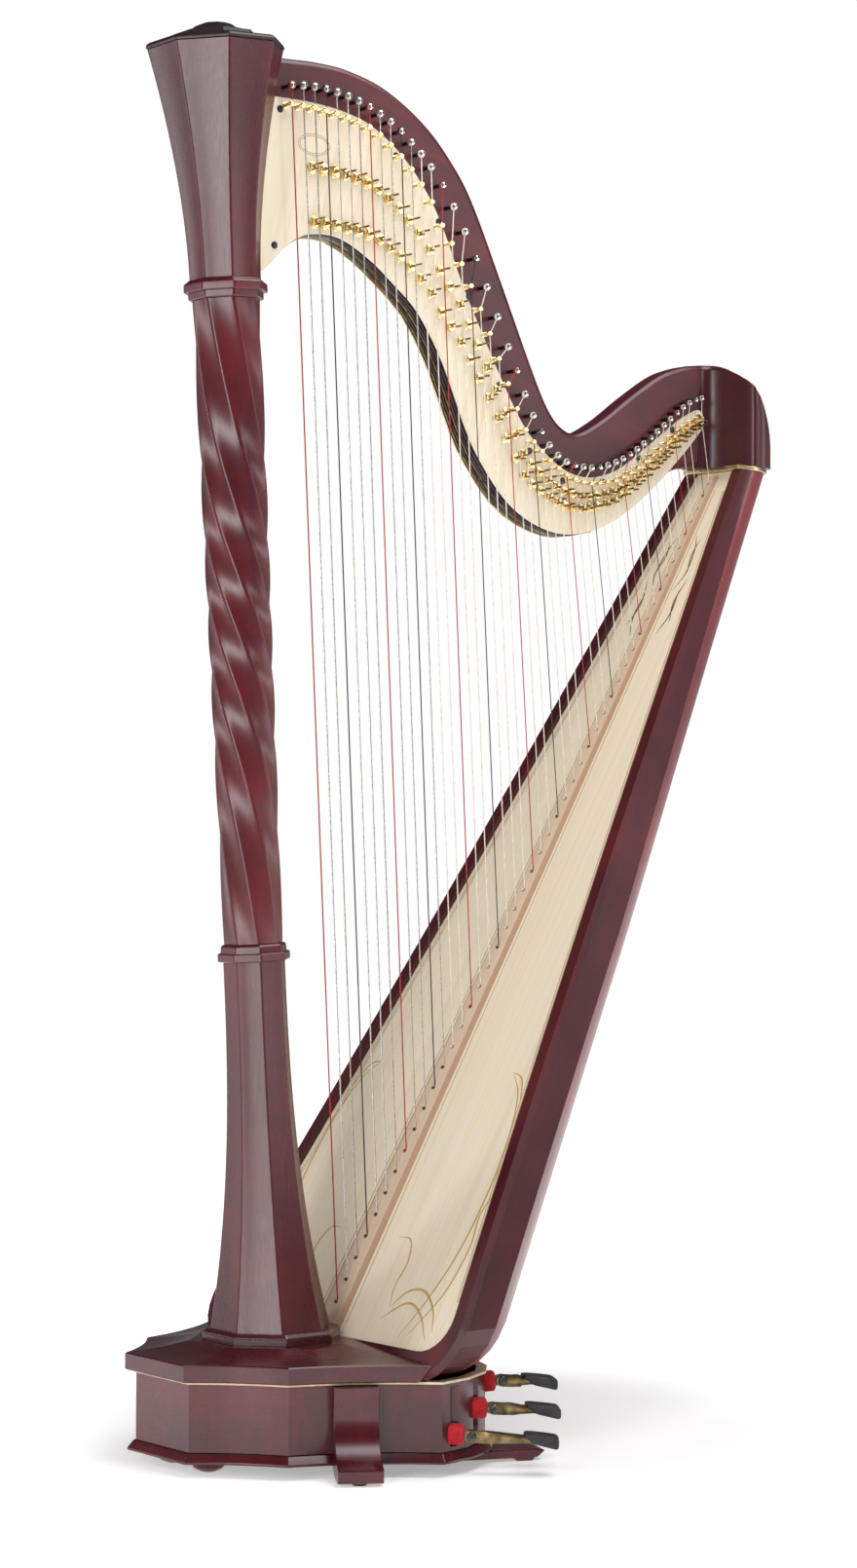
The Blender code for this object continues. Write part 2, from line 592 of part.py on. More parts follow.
def string_ends(i):
    """Foot on the string rib and the top of string i in the plane y = 0, level with its tuning pin."""
    x = follow([(FIRST_PIN + PIN_STEP * i - PIN_CLOSE * i * i, 0.0)])[0][0]
    last = STRINGS - 1
    step = (BOARD_LEN - LAST_FOOT_GAP - FIRST_FOOT + FOOT_CLOSE * last ** 3) / last
    s = FIRST_FOOT + step * i - FOOT_CLOSE * i ** 3
    return BOARD @ Vector((0, s, -0.002)), Vector((x, 0, height_on(smooth_line(PIN_LINE), x)))


def tuning_pin(i):
    """The pin stands beside the string line in the middle octaves."""
    x = string_ends(i)[1].x + height_on(PIN_OFFSET, i)
    return Vector((x, 0, height_on(smooth_line(PIN_LINE), x)))


def disc_points(i):
    """Bridge pin, upper disc and lower disc of string i, on the string."""
    foot, pin = string_ends(i)
    edge = smooth_line(PLATE_TOP)
    direction = (foot - pin).normalized()
    point = pin.copy()
    for _ in range(60):
        slope = (height_on(edge, point.x + 0.004) - height_on(edge, point.x - 0.004)) / 0.008
        if point.z < height_on(edge, point.x) - 0.010 * math.sqrt(1 + slope * slope):
            break
        point += direction * 0.001
    length = (foot - point).length
    return point, point + direction * length * 0.0561, point + direction * length * 0.1091


def build_neck():
    top, low = smooth_line(NECK_TOP, 2), smooth_line(NECK_LOW, 2)
    neck = prism("neck", low + top[::-1], NECK_NEAR, NECK_FAR, "xz", MAHOGANY)
    tip = (CROWN_X + 0.008, 1.420 + CROWN_LIFT)
    plate = smooth_line(PLATE_LOW, 2) + [tip] + smooth_line(PLATE_TOP, 2)[::-1]
    near = prism("action_plate_near", plate, PLATE_NEAR, PLATE_NEAR + PLATE_THICK, "xz", MAPLE)
    far_plate = [(x, z) for x, z in plate if x < CROWN_X]
    far = prism("action_plate_far", far_plate, NECK_FAR + GAP, NECK_FAR + FAR_PLATE, "xz", BRASS)
    # the neck stops against the capital, the collar under it and the lid on it
    clear = [polygon(0.0568, TWIST_END - 0.01), polygon(0.0568, CAPITAL_START - GAP)]
    for k in range(1, 10):
        s = CAPITAL_START + (CAPITAL_LEN - GAP) * k / 9
        clear.append(polygon(capital_radius(s) + 0.0006, s))
    clear += [polygon(0.0935, CAPITAL_END), polygon(0.0935, CAPITAL_END + 0.05)]
    cutter = place(loft("capital_clear", clear, None, collection=CUTTERS), AXIS)
    for ob in (neck, near, far):
        combine(ob, cutter)

    holes = many_rods("pin_holes", PIN_R + 0.0006, NECK_NEAR - 0.01, NECK_FAR + 0.01,
                      [tuning_pin(i) for i in range(STRINGS)])
    combine(neck, holes)
    spindles = []
    for k in range(7):
        spindles += list(disc_points(ACTION_FIRST + k)[1:])
    combine(near, many_rods("spindle_holes", SPINDLE_R + 0.0005, 0, PLATE_NEAR + 0.02, spindles, 12))
    build_crown()


def many_rods(name, radius, low, high, centres, sides=8, mat=None, collection=CUTTERS):
    """Parallel rods along y, one body per centre."""
    verts, faces = [], []
    for c in centres:
        base = len(verts)
        for y in (low, high):
            verts += [(c.x + radius * math.cos(2 * math.pi * (i + 0.5) / sides), y,
                       c.z + radius * math.sin(2 * math.pi * (i + 0.5) / sides)) for i in range(sides)]
        faces += [(base + i, base + (i + 1) % sides, base + sides + (i + 1) % sides, base + sides + i)
                  for i in range(sides)]
        faces += [tuple(base + i for i in range(sides)), tuple(base + sides + i for i in range(sides))]
    return add(name, verts, faces, mat, collection)


def build_crown():
    """Hood over the top of the box: scooped where the neck runs into it, then round like the box."""
    bottom = SHELL_TOP + FERRULE + GAP
    # x beyond the neck, near face from the near face of the neck, top
    stations = [(0.0, 0.0004, 1.5020), (0.013, 0.0002, 1.5028), (0.020, -0.0060, 1.5018),
                (0.026, -0.0150, 1.5000), (0.032, -0.0300, 1.4935), (0.038, -0.0470, 1.4830),
                (0.043, -0.0610, 1.4730), (0.048, -0.0670, 1.4645), (0.062, -0.0675, 1.4480),
                (0.080, -0.0612, 1.4204), (0.092, -0.0530, 1.3850), (0.098, -0.0462, 1.3650)]
    rings = []
    edge = 0.010
    for x, out, top in stations:
        x, near, top = CROWN_X + GAP + x, NECK_NEAR + out, top + CROWN_LIFT
        ring = [(near, bottom), (NECK_FAR, bottom), (NECK_FAR, top - edge), (NECK_FAR - edge, top),
                (near + edge, top), (near, top - edge)]
        rings.append([Vector((x, y, z)) for y, z in ring])
    loft("crown", rings, MAHOGANY)


# ---------------------------------------------------------------- strings
def build_strings():
    pins = [tuning_pin(i) for i in range(STRINGS)]
    body = many_rods("strings", PIN_R, -0.005, NECK_FAR + 0.011, pins, 8, NYLON, PART)
    half = [(0.024, FIRST_FOOT - 0.035), (0.007, BOARD_LEN - 0.02)]
    rib = prism("string_rib", half + [(-x, s) for x, s in half[::-1]], -0.004, -GAP, "xy",
                None, CUTTERS)
    place(rib, BOARD)
    combine(body, rib, "UNION")
    verts, faces = [], []
    sides = 5
    for i in range(STRINGS):
        base = len(verts)
        for p in (string_ends(i)[0], disc_points(i)[0], tuning_pin(i)):
            verts += [(p.x + STRING_R * math.cos(2 * math.pi * k / sides),
                       p.y + STRING_R * math.sin(2 * math.pi * k / sides), p.z) for k in range(sides)]
        for low in (base, base + sides):
            faces += [(low + k, low + (k + 1) % sides, low + sides + (k + 1) % sides, low + sides + k)
                      for k in range(sides)]
        faces += [tuple(base + k for k in range(sides)), tuple(base + 2 * sides + k for k in range(sides))]
    combine(body, add("string_lines", verts, faces, None, CUTTERS), "UNION")


# ---------------------------------------------------------------- pedals and discs
def pedal_pose(name):
    """Lever frame at its hinge (x along the lever), reach to the slot and rest pitch."""
    hinge_y, slot_x, slot_y, notch, _ = PEDALS[name]
    angle = math.atan2(slot_y - hinge_y, slot_x - HINGE_X)
    reach = math.hypot(slot_y - hinge_y, slot_x - HINGE_X)
    drop = NOTCH * (NOTCH_POS[notch] - 1) + 0.001
    pitch = math.asin(drop / reach)
    frame = (Matrix.Translation((HINGE_X, hinge_y, HINGE_Z)) @ Matrix.Rotation(angle, 4, "Z")
             @ Matrix.Rotation(pitch, 4, "Y"))
    return frame, reach, pitch


def build_pedals():
    for name in PEDALS:
        frame, reach, pitch = pedal_pose(name)
        bolt = reach + BOLT_OUT
        outline = []
        for k in range(7):
            a = math.pi / 2 + k * math.pi / 6
            outline.append((0.008 * math.cos(a), 0.008 * math.sin(a)))
        outline += [(0.012, -0.005), (bolt - 0.012, -0.006)]
        for k in range(7):
            a = -math.pi / 2 + k * math.pi / 6
            outline.append((bolt + 0.0075 * math.cos(a), 0.0075 * math.sin(a)))
        outline += [(bolt - 0.012, 0.006), (0.012, 0.005)]
        lever = prism("pedal_lever_" + name, outline, -LEVER_HALF, LEVER_HALF, "xz", STEEL)
        eyes = many_rods("eyes_" + name, 0.0032, -0.02, 0.02, [Vector((0, 0, 0)), Vector((bolt, 0, 0))], 12)
        combine(lever, eyes)
        place(lever, frame)
        place(eyes, frame)

        # brass foot beside the end of the lever, turning on the fold bolt
        length = PEDALS[name][4]
        drop = math.radians(3) - pitch
        side = -1 if PEDALS[name][1] and PEDALS[name][2] < 0 else 1
        n0, n1 = LEVER_HALF + 0.0003, LEVER_HALF + 0.0053
        sections = [(0.0, n0, n1, 0.0058), (0.014, n0, n1, 0.0058), (0.022, -0.004, n1 + 0.002, 0.0055),
                    (length - 0.036, -0.009, 0.012, 0.0050), (length - 0.033, -0.014, 0.017, 0.0065),
                    (length - 0.004, -0.016, 0.019, 0.0062), (length, -0.013, 0.016, 0.0040)]
        rings = [[Vector((x, side * a, -h)), Vector((x, side * b, -h)), Vector((x, side * b, h)),
                  Vector((x, side * a, h))] for x, a, b, h in sections]
        foot = loft("pedal_foot_" + name, rings, PEDAL_FOOT)
        place(foot, frame @ Matrix.Translation((bolt, 0, 0)) @ Matrix.Rotation(drop, 4, "Y"))
        eye = many_rods("foot_eye_" + name, 0.0075, min(side * n0, side * n1), max(side * n0, side * n1),
                        [Vector((0, 0, 0))], 12)
        pin = many_rods("foot_pin_" + name, 0.0029, -LEVER_HALF - 0.001, LEVER_HALF + 0.003,
                        [Vector((0, 0, 0))], 12)
        if side < 0:
            pin.data.transform(Matrix.Scale(-1, 4, (0, 1, 0)))
            pin.data.flip_normals()
        for tool in (eye, pin):
            place(tool, foot.matrix_world)
            combine(foot, tool, "UNION")


def disc_reach():
    """Half size of a disc, a share of the room to the nearest other disc of the octave."""
    spots = [p for k in range(len(OCTAVE)) for p in disc_points(ACTION_FIRST + k)[1:]]
    room = min((a - b).length for i, a in enumerate(spots) for b in spots[i + 1:])
    return DISC_SHARE * room


def build_discs():
    size = disc_reach()
    for k, note in enumerate(OCTAVE):
        turn = DISC_TURN * NOTCH_POS[PEDALS[note][3]] / 2
        _, upper, lower = disc_points(ACTION_FIRST + k)
        for label, at in (("upper", upper), ("lower", lower)):
            rings = []
            for r, y in ((SPINDLE_R, PLATE_NEAR + 0.0040), (SPINDLE_R, PLATE_NEAR - GAP),
                         (size, PLATE_NEAR - GAP), (size, PLATE_NEAR - 0.0030),
                         (size * 0.8, PLATE_NEAR - 0.0038)):
                rings.append([Vector((r * math.cos(2 * math.pi * i / 12), y,
                                      r * math.sin(2 * math.pi * i / 12))) for i in range(12)])
            disc = loft("disc_%s_%s" % (label, note), rings, BRASS)
            prongs = many_rods("prongs_%s_%s" % (label, note), 0.00125, -0.003, PLATE_NEAR - 0.002,
                               [Vector((-size * 0.645, 0, 0)), Vector((size * 0.645, 0, 0))], 6)
            frame = Matrix.Translation(at) @ Matrix.Rotation(turn, 4, "Y")
            place(disc, frame)
            place(prongs, frame)
            combine(disc, prongs, "UNION")


def recentre():
    """Origin on the floor under the middle of the bounding box."""
    for ob in list(PART.objects) + list(CUTTERS.objects):
        ob.matrix_world = Matrix.Translation((ORIGIN_SHIFT, 0, 0)) @ ob.matrix_world


build_base()
build_column()
build_soundbox()
build_neck()
build_strings()
build_pedals()
build_discs()
recentre()
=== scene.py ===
import random
from math import asin, atan2, cos, hypot, pi, radians, sin, sqrt

import bmesh
import bpy
from mathutils import Matrix, Vector


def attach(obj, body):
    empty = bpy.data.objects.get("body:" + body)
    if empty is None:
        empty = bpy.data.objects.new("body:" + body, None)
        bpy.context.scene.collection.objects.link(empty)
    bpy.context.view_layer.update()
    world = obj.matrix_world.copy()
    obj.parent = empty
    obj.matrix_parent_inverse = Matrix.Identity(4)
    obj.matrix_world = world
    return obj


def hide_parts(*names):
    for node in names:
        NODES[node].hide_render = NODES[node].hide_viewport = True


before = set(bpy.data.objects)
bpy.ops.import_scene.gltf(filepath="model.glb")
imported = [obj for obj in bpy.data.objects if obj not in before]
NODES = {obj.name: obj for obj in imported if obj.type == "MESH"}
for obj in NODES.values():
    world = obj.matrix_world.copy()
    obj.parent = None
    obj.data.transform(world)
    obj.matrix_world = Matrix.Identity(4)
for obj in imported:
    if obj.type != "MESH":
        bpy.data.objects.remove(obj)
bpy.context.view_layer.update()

SHIFT = Vector((-0.3399, 0, 0))              # column frame to row frame
random.seed(7)


# ================================================================ materials
def set_stops(elements, stops):
    """Gives a colour ramp its stops; a bare number is a grey."""
    while len(elements) < len(stops):
        elements.new(0.5)
    for e, (pos, colour) in zip(elements, stops):
        e.position = pos
        e.color = (*colour, 1) if isinstance(colour, tuple) else (colour, colour, colour, 1)


class Shade:
    """A node material with one Principled shader."""

    def __init__(self, name, colour, rough, metallic=0.0, **sockets):
        self.mat = bpy.data.materials.new(name)
        self.mat.use_nodes = True
        self.tree = self.mat.node_tree
        self.shader = self.tree.nodes["Principled BSDF"]
        self.shader.inputs["Metallic"].default_value = metallic
        self.feed(self.shader.inputs["Base Color"], colour)
        self.feed(self.shader.inputs["Roughness"], rough)
        for key, value in sockets.items():
            self.shader.inputs[key.replace("_", " ")].default_value = value

    def feed(self, socket, value):
        if isinstance(value, bpy.types.NodeSocket):
            self.tree.links.new(value, socket)
        elif isinstance(value, tuple) and len(value) == 3 and socket.type == "RGBA":
            socket.default_value = (*value, 1)
        else:
            socket.default_value = value

    def node(self, kind, inputs=(), **props):
        n = self.tree.nodes.new(kind)
        for key, value in props.items():
            setattr(n, key, value)
        for key, value in dict(inputs).items():
            self.feed(n.inputs[key], value)
        return n

    def along(self, direction, stretch):
        """Object coordinates with X along the grain, each axis stretched."""
        d = Vector(direction).normalized()
        side = d.cross(Vector((0, 1, 0)) if abs(d.y) < 0.9 else Vector((1, 0, 0))).normalized()
        coord = self.node("ShaderNodeTexCoord").outputs["Object"]
        out = self.node("ShaderNodeCombineXYZ")
        for k, axis in enumerate((d, side, d.cross(side))):
            dot = self.node("ShaderNodeVectorMath", {0: coord, 1: axis * stretch[k]}, operation="DOT_PRODUCT")
            self.tree.links.new(dot.outputs["Value"], out.inputs[k])
        return out.outputs[0]

    def noise(self, vector, scale=1.0, detail=3.0, rough=0.5, warp=0.0):
        n = self.node("ShaderNodeTexNoise", {"Vector": vector, "Scale": scale, "Detail": detail,
                                             "Roughness": rough, "Distortion": warp})
        return n.outputs["Fac"]

    def object_noise(self, scale, detail=3.0, warp=0.0):
        return self.noise(self.node("ShaderNodeTexCoord").outputs["Object"], scale, detail, 0.5, warp)

    def ramp(self, fac, stops):
        n = self.node("ShaderNodeValToRGB", {"Fac": fac})
        set_stops(n.color_ramp.elements, stops)
        return n.outputs["Color"]

    def mix(self, fac, a, b, mode="MIX"):
        n = self.node("ShaderNodeMix", data_type="RGBA", blend_type=mode)
        self.feed(n.inputs["Factor"], fac)
        self.feed(n.inputs[6], a)
        self.feed(n.inputs[7], b)
        return n.outputs[2]

    def span(self, fac, low, high):
        n = self.node("ShaderNodeMapRange", {"Value": fac, "From Min": 0.25, "From Max": 0.75,
                                             "To Min": low, "To Max": high})
        return n.outputs["Result"]

    def bump(self, height, distance, strength=1.0):
        n = self.node("ShaderNodeBump", {"Height": height, "Distance": distance, "Strength": strength})
        self.tree.links.new(n.outputs["Normal"], self.shader.inputs["Normal"])
        return self.mat

    def colour(self, value):
        self.feed(self.shader.inputs["Base Color"], value)

    def rough(self, value):
        self.feed(self.shader.inputs["Roughness"], value)


def mahogany(name, direction, red=0.5, curl=0.35, dark=1.0, rough=0.27):
    """Purple-red stained wood under satin lacquer."""
    s = Shade(name, (0.08, 0.01, 0.015), rough, Coat_Weight=0.0, Specular_IOR_Level=0.62)
    figure = s.noise(s.along(direction, (2.6, 13, 13)), 1, 4, 0.55, 0.9)
    cross = s.noise(s.along(direction, (34, 7, 7)), 1, 3, 0.6, 1.4)
    patch = s.object_noise(4.2, 2, 0.4)
    fibre = s.noise(s.along(direction, (14, 420, 420)), 1, 3, 0.65)
    tone = s.mix(curl, figure, cross)
    tone = s.mix(0.40, tone, patch)
    low, high = 0.58 - 0.24 * red, 0.80 - 0.24 * red
    shades = [(0.030, 0.0028, 0.0062), (0.075, 0.0062, 0.0115),
              (0.165, 0.0115, 0.0175), (0.255, 0.021, 0.025)]
    wood = s.ramp(tone, [(p, tuple(c * dark for c in shade))
                         for p, shade in zip((0.28, low, high, 0.88), shades)])
    wood = s.mix(s.span(fibre, 0.0, 0.42), wood, (0.020 * dark, 0.0020 * dark, 0.0048 * dark))
    s.colour(wood)
    s.rough(s.span(s.mix(0.5, fibre, patch), rough - 0.05, rough + 0.08))
    return s.bump(s.mix(0.5, fibre, figure), 0.00010, 0.45)


def pale_wood(name, direction, light, dark, pitch, rough=0.42, streak=0.5):
    """Spruce or maple with straight annual lines across the grain."""
    s = Shade(name, light, rough, Coat_Weight=0.2, Coat_Roughness=0.25)
    lines = s.noise(s.along(direction, (1.2, pitch, pitch * 0.3)), 1, 3, 0.6, 0.15)
    broad = s.noise(s.along(direction, (1.0, pitch * 0.12, pitch * 0.08)), 1, 3, 0.5, 0.3)
    flecks = s.noise(s.along(direction, (60, 900, 900)), 1, 2, 0.5)
    ring = s.ramp(lines, [(0.36, 1.0), (0.50, 0.25), (0.66, 0.0)])
    wood = s.mix(s.mix(0.5, ring, s.ramp(broad, [(0.35, 0.0), (0.7, 0.7)])), light, dark)
    wood = s.mix(s.span(flecks, 0.0, 0.18 * streak), wood, tuple(c * 0.75 for c in dark))
    s.colour(wood)
    s.rough(s.span(flecks, rough - 0.05, rough + 0.06))
    return s.bump(s.mix(0.4, lines, flecks), 0.00010, 0.5)


def metal(name, light, dark, rough, scale=90.0, brushed=None):
    s = Shade(name, light, rough, 1.0)
    patch = s.object_noise(scale, 4, 0.3)
    fine = s.noise(s.along(brushed or (1, 0, 0), (40, 2500, 2500) if brushed else (900, 900, 900)), 1, 2)
    s.colour(s.mix(s.ramp(patch, [(0.38, 0.0), (0.68, 1.0)]), light, dark))
    s.rough(s.span(s.mix(0.5, patch, fine), max(0.04, rough - 0.07), rough + 0.12))
    return s.bump(fine, 0.00003, 0.4)


UP = Vector((sin(radians(30.25)), 0, cos(radians(30.25))))   # up the soundboard

WOOD_UP = mahogany("mahogany_column", (-0.058, 0, 1), 0.40, 0.30)
WOOD_TWIST = mahogany("mahogany_twist", (-0.058, 0, 1), 0.60, 0.40)
WOOD_NECK = mahogany("mahogany_neck", (1, 0, -0.35), 0.45, 0.12, 1.05, 0.34)
WOOD_CROWN = mahogany("mahogany_crown", (0.3, 0, 1), 0.30, 0.12, 0.75, 0.30)
WOOD_BOX = mahogany("mahogany_side_panel", UP, 0.42, 0.25, 0.85, 0.30)
WOOD_BACK = mahogany("mahogany_back_panel", UP, 0.95, 0.65, 1.45, 0.28)
WOOD_TRIM = mahogany("mahogany_trim", UP, 0.60, 0.10, 0.80, 0.30)
WOOD_BASE = mahogany("mahogany_base", (0.7, -0.7, 0), 0.55, 0.45, 1.0, 0.24)
WOOD_TOP = mahogany("mahogany_platform", (1, -0.2, 0), 0.35, 0.20, 0.95, 0.26)
WOOD_LEG = mahogany("mahogany_leg", (0, 0, 1), 0.62, 0.30, 1.05, 0.26)
WOOD_LID = mahogany("mahogany_lid", (1, 0, 0), 0.05, 0.1, 0.30, 0.40)
SPRUCE = pale_wood("spruce_board", (0.503, 0, 0.864), (0.86, 0.75, 0.58), (0.75, 0.62, 0.45), 520)
MAPLE = pale_wood("maple_plate", (0.25, 0, 1), (0.86, 0.76, 0.59), (0.74, 0.61, 0.43), 130, 0.36)
MAPLE_EDGE = pale_wood("maple_purfling", (1, 0, 0), (0.80, 0.66, 0.45), (0.64, 0.47, 0.28), 160, 0.4)
RIB_WOOD = pale_wood("rib_beech", UP, (0.72, 0.56, 0.41), (0.58, 0.41, 0.28), 260, 0.42)
RIB_SIDE = pale_wood("rib_side_pear", UP, (0.50, 0.31, 0.20), (0.37, 0.21, 0.13), 260, 0.40)
INLAY = pale_wood("inlay_tan", UP, (0.42, 0.29, 0.13), (0.30, 0.19, 0.07), 400, 0.4)
SCROLL = pale_wood("scroll_gold_stain", UP, (0.60, 0.42, 0.15), (0.42, 0.26, 0.08), 300, 0.4)
SCROLL_DARK = pale_wood("scroll_brown_ink", UP, (0.20, 0.11, 0.05), (0.11, 0.05, 0.02), 300, 0.5)
GOLD = metal("polished_gold", (0.98, 0.80, 0.46), (0.86, 0.60, 0.24), 0.20)
BAND = metal("satin_brass_band", (0.62, 0.50, 0.30), (0.40, 0.28, 0.13), 0.26, 120, (0, 1, 0))
CHROME = metal("nickel_plate", (0.80, 0.79, 0.77), (0.55, 0.54, 0.52), 0.12)
BLUED = metal("blued_steel", (0.10, 0.10, 0.11), (0.035, 0.035, 0.04), 0.28)
LEVER = metal("aged_lever_steel", (0.36, 0.33, 0.29), (0.17, 0.14, 0.10), 0.38, 140, (1, 0, 0))
ANTIQUE = metal("antique_pedal_brass", (0.30, 0.22, 0.10), (0.10, 0.065, 0.028), 0.30, 85, (1, 0, 0))
IRON = metal("bottom_plate_iron", (0.10, 0.09, 0.09), (0.05, 0.04, 0.04), 0.5, 30)
WIRE = metal("wound_wire", (0.60, 0.58, 0.55), (0.32, 0.30, 0.28), 0.3, 400)


def string_gut(name, light, dark):
    s = Shade(name, light, 0.32, Specular_IOR_Level=0.6)
    band = s.object_noise(160, 3)
    s.colour(s.mix(s.ramp(band, [(0.35, 0.0), (0.7, 1.0)]), light, dark))
    s.rough(s.span(band, 0.26, 0.42))
    return s.bump(band, 0.00004, 0.4)


GUT = string_gut("gut_clear", (0.80, 0.76, 0.68), (0.62, 0.57, 0.48))
GUT_RED = string_gut("gut_red", (0.42, 0.018, 0.022), (0.25, 0.010, 0.014))
GUT_BLACK = string_gut("gut_black", (0.020, 0.020, 0.022), (0.008, 0.008, 0.010))


def rubber():
    s = Shade("pedal_rubber", (0.018, 0.018, 0.019), 0.6)
    grit = s.object_noise(900, 4)
    wear = s.object_noise(45, 3, 0.5)
    s.colour(s.mix(s.ramp(wear, [(0.40, 0.0), (0.75, 1.0)]), (0.016, 0.016, 0.018), (0.045, 0.044, 0.043)))
    s.rough(s.span(grit, 0.5, 0.72))
    return s.bump(grit, 0.00015, 0.6)


def felt():
    s = Shade("red_felt", (0.50, 0.012, 0.020), 0.95, Sheen_Weight=0.25, Sheen_Roughness=0.45)
    s.shader.inputs["Sheen Tint"].default_value = (1.0, 0.35, 0.35, 1)
    fuzz = s.object_noise(1400, 5, 0.6)
    pill = s.object_noise(160, 3, 0.8)
    s.colour(s.mix(s.ramp(s.mix(0.5, fuzz, pill), [(0.35, 0.0), (0.68, 1.0)]),
                   (0.36, 0.006, 0.012), (0.62, 0.022, 0.030)))
    return s.bump(s.mix(0.35, fuzz, pill), 0.0006, 0.8)


RUBBER, FELT = rubber(), felt()


# ================================================================ mesh helpers
def weld_group():
    """Joins the split corners of a CAD node so that its edges can be softened."""
    g = bpy.data.node_groups.new("weld", "GeometryNodeTree")
    g.interface.new_socket("Geometry", in_out="INPUT", socket_type="NodeSocketGeometry")
    g.interface.new_socket("Geometry", in_out="OUTPUT", socket_type="NodeSocketGeometry")
    start, end = g.nodes.new("NodeGroupInput"), g.nodes.new("NodeGroupOutput")
    drop = g.nodes.new("GeometryNodeRemoveAttribute")
    drop.inputs["Name"].default_value = "custom_normal"
    weld = g.nodes.new("GeometryNodeMergeByDistance")
    weld.inputs["Distance"].default_value = 0.00001
    smooth = g.nodes.new("GeometryNodeSetShadeSmooth")
    smooth.inputs["Shade Smooth"].default_value = True
    angle = g.nodes.new("GeometryNodeInputMeshEdgeAngle")
    over = g.nodes.new("FunctionNodeCompare")
    over.data_type, over.operation = "FLOAT", "GREATER_THAN"
    over.inputs["B"].default_value = radians(28)
    sharp = g.nodes.new("GeometryNodeSetShadeSmooth")
    sharp.domain = "EDGE"
    sharp.inputs["Shade Smooth"].default_value = False
    link = g.links.new
    link(start.outputs[0], drop.inputs["Geometry"])
    link(drop.outputs["Geometry"], weld.inputs["Geometry"])
    link(weld.outputs["Geometry"], smooth.inputs["Geometry"])
    link(smooth.outputs["Geometry"], sharp.inputs["Geometry"])
    link(angle.outputs["Unsigned Angle"], over.inputs["A"])
    link(over.outputs["Result"], sharp.inputs["Selection"])
    link(sharp.outputs["Geometry"], end.inputs[0])
    return g


WELD = weld_group()


def place(name, data):
    """A new object in the scene."""
    ob = bpy.data.objects.new(name, data)
    bpy.context.scene.collection.objects.link(ob)
    return ob


def face_normals(ob, keep_sharp=True):
    """Shades flat faces flat up to their softened edges."""
    mod = ob.modifiers.new("face_normals", "WEIGHTED_NORMAL")
    mod.keep_sharp = keep_sharp
    return mod


def soften(ob, width, segments=2, angle=28):
    mod = ob.modifiers.new("edge_round", "BEVEL")
    mod.width, mod.segments = width, segments
    mod.limit_method, mod.angle_limit = "ANGLE", radians(angle)
    mod.miter_outer = "MITER_ARC"
    mod.use_clamp_overlap = True
    face_normals(ob, keep_sharp=False).weight = 80


def dress(node, mat, width=0.0):
    """Puts a finish on a CAD node that stays."""
    ob = NODES[node]
    ob.data.materials.clear()
    ob.data.materials.append(mat)
    ob.modifiers.new("weld", "NODES").node_group = WELD
    if width:
        soften(ob, width)
    return ob


def piece(name, verts, faces, mat, body="frame", sharp=30, round_edges=0.0, segments=2, matrix=None,
          slot=None):
    """A new mesh in the column frame, moved to the row frame, riding on a body."""
    mesh = bpy.data.meshes.new(name)
    if matrix is not None:
        verts = [matrix @ Vector(v) for v in verts]
    mesh.from_pydata([tuple(Vector(v) + SHIFT) for v in verts], [], faces)
    bm = bmesh.new()
    bm.from_mesh(mesh)
    bmesh.ops.recalc_face_normals(bm, faces=bm.faces)
    for f in bm.faces:
        f.smooth = True
    limit = radians(sharp)
    for e in bm.edges:
        if len(e.link_faces) == 2 and e.calc_face_angle() > limit:
            e.smooth = False
    bm.to_mesh(mesh)
    bm.free()
    mats = mat if isinstance(mat, (list, tuple)) else [mat]
    for m in mats:
        mesh.materials.append(m)
    ob = place(name, mesh)
    if round_edges:
        soften(ob, round_edges, segments)
    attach(ob, body)
    return ob


class Bag:
    """Collects many small closed bodies into one mesh."""

    def __init__(self):
        self.verts, self.faces = [], []

    def rings(self, rings, caps=True):
        base, count = len(self.verts), len(rings[0])
        for ring in rings:
            self.verts += [Vector(v) for v in ring]
        for k in range(len(rings) - 1):
            for i in range(count):
                j = (i + 1) % count
                a, b = base + k * count, base + (k + 1) * count
                self.faces.append((a + i, a + j, b + j, b + i))
        if caps:
            last = base + (len(rings) - 1) * count
            self.faces.append(tuple(range(base, base + count)))
            self.faces.append(tuple(range(last, last + count)))
        return self

    def turned(self, profile, frame_matrix, sides=16):
        """Profile of (distance along local z, radius)."""
        return self.rings([[frame_matrix @ Vector((r * cos(2 * pi * i / sides),
                                                   r * sin(2 * pi * i / sides), d))
                            for i in range(sides)] for d, r in profile])

    def block(self, size, frame_matrix, chamfer=0.0):
        """Box with chamfered edges round its local z."""
        x, y, z = (v / 2 for v in size)
        c = chamfer or min(x, y) * 0.2
        plan = [(x - c, -y), (x, -y + c), (x, y - c), (x - c, y), (-x + c, y), (-x, y - c), (-x, -y + c),
                (-x + c, -y)]
        small = [(a * (1 - c * 0.8 / x), b * (1 - c * 0.8 / y)) for a, b in plan]
        levels = [(small, -z), (plan, -z + c * 0.8), (plan, z - c * 0.8), (small, z)]
        return self.rings([[frame_matrix @ Vector((a, b, h)) for a, b in p] for p, h in levels])

    def tube(self, path, radius, sides=8):
        pts = [Vector(p) for p in path]
        radii = radius if isinstance(radius, (list, tuple)) else [radius] * len(pts)
        rings, side = [], None
        for k, p in enumerate(pts):
            d = (pts[min(k + 1, len(pts) - 1)] - pts[max(k - 1, 0)]).normalized()
            if side is None:
                side = d.cross(Vector((0, 1, 0)) if abs(d.y) < 0.9 else Vector((1, 0, 0)))
            side = (side - d * side.dot(d)).normalized()
            up = d.cross(side)
            rings.append([p + (side * cos(2 * pi * i / sides) + up * sin(2 * pi * i / sides))
                          * radii[k] for i in range(sides)])
        return self.rings(rings)

    def make(self, name, mat, **options):
        return piece(name, self.verts, self.faces, mat, **options)


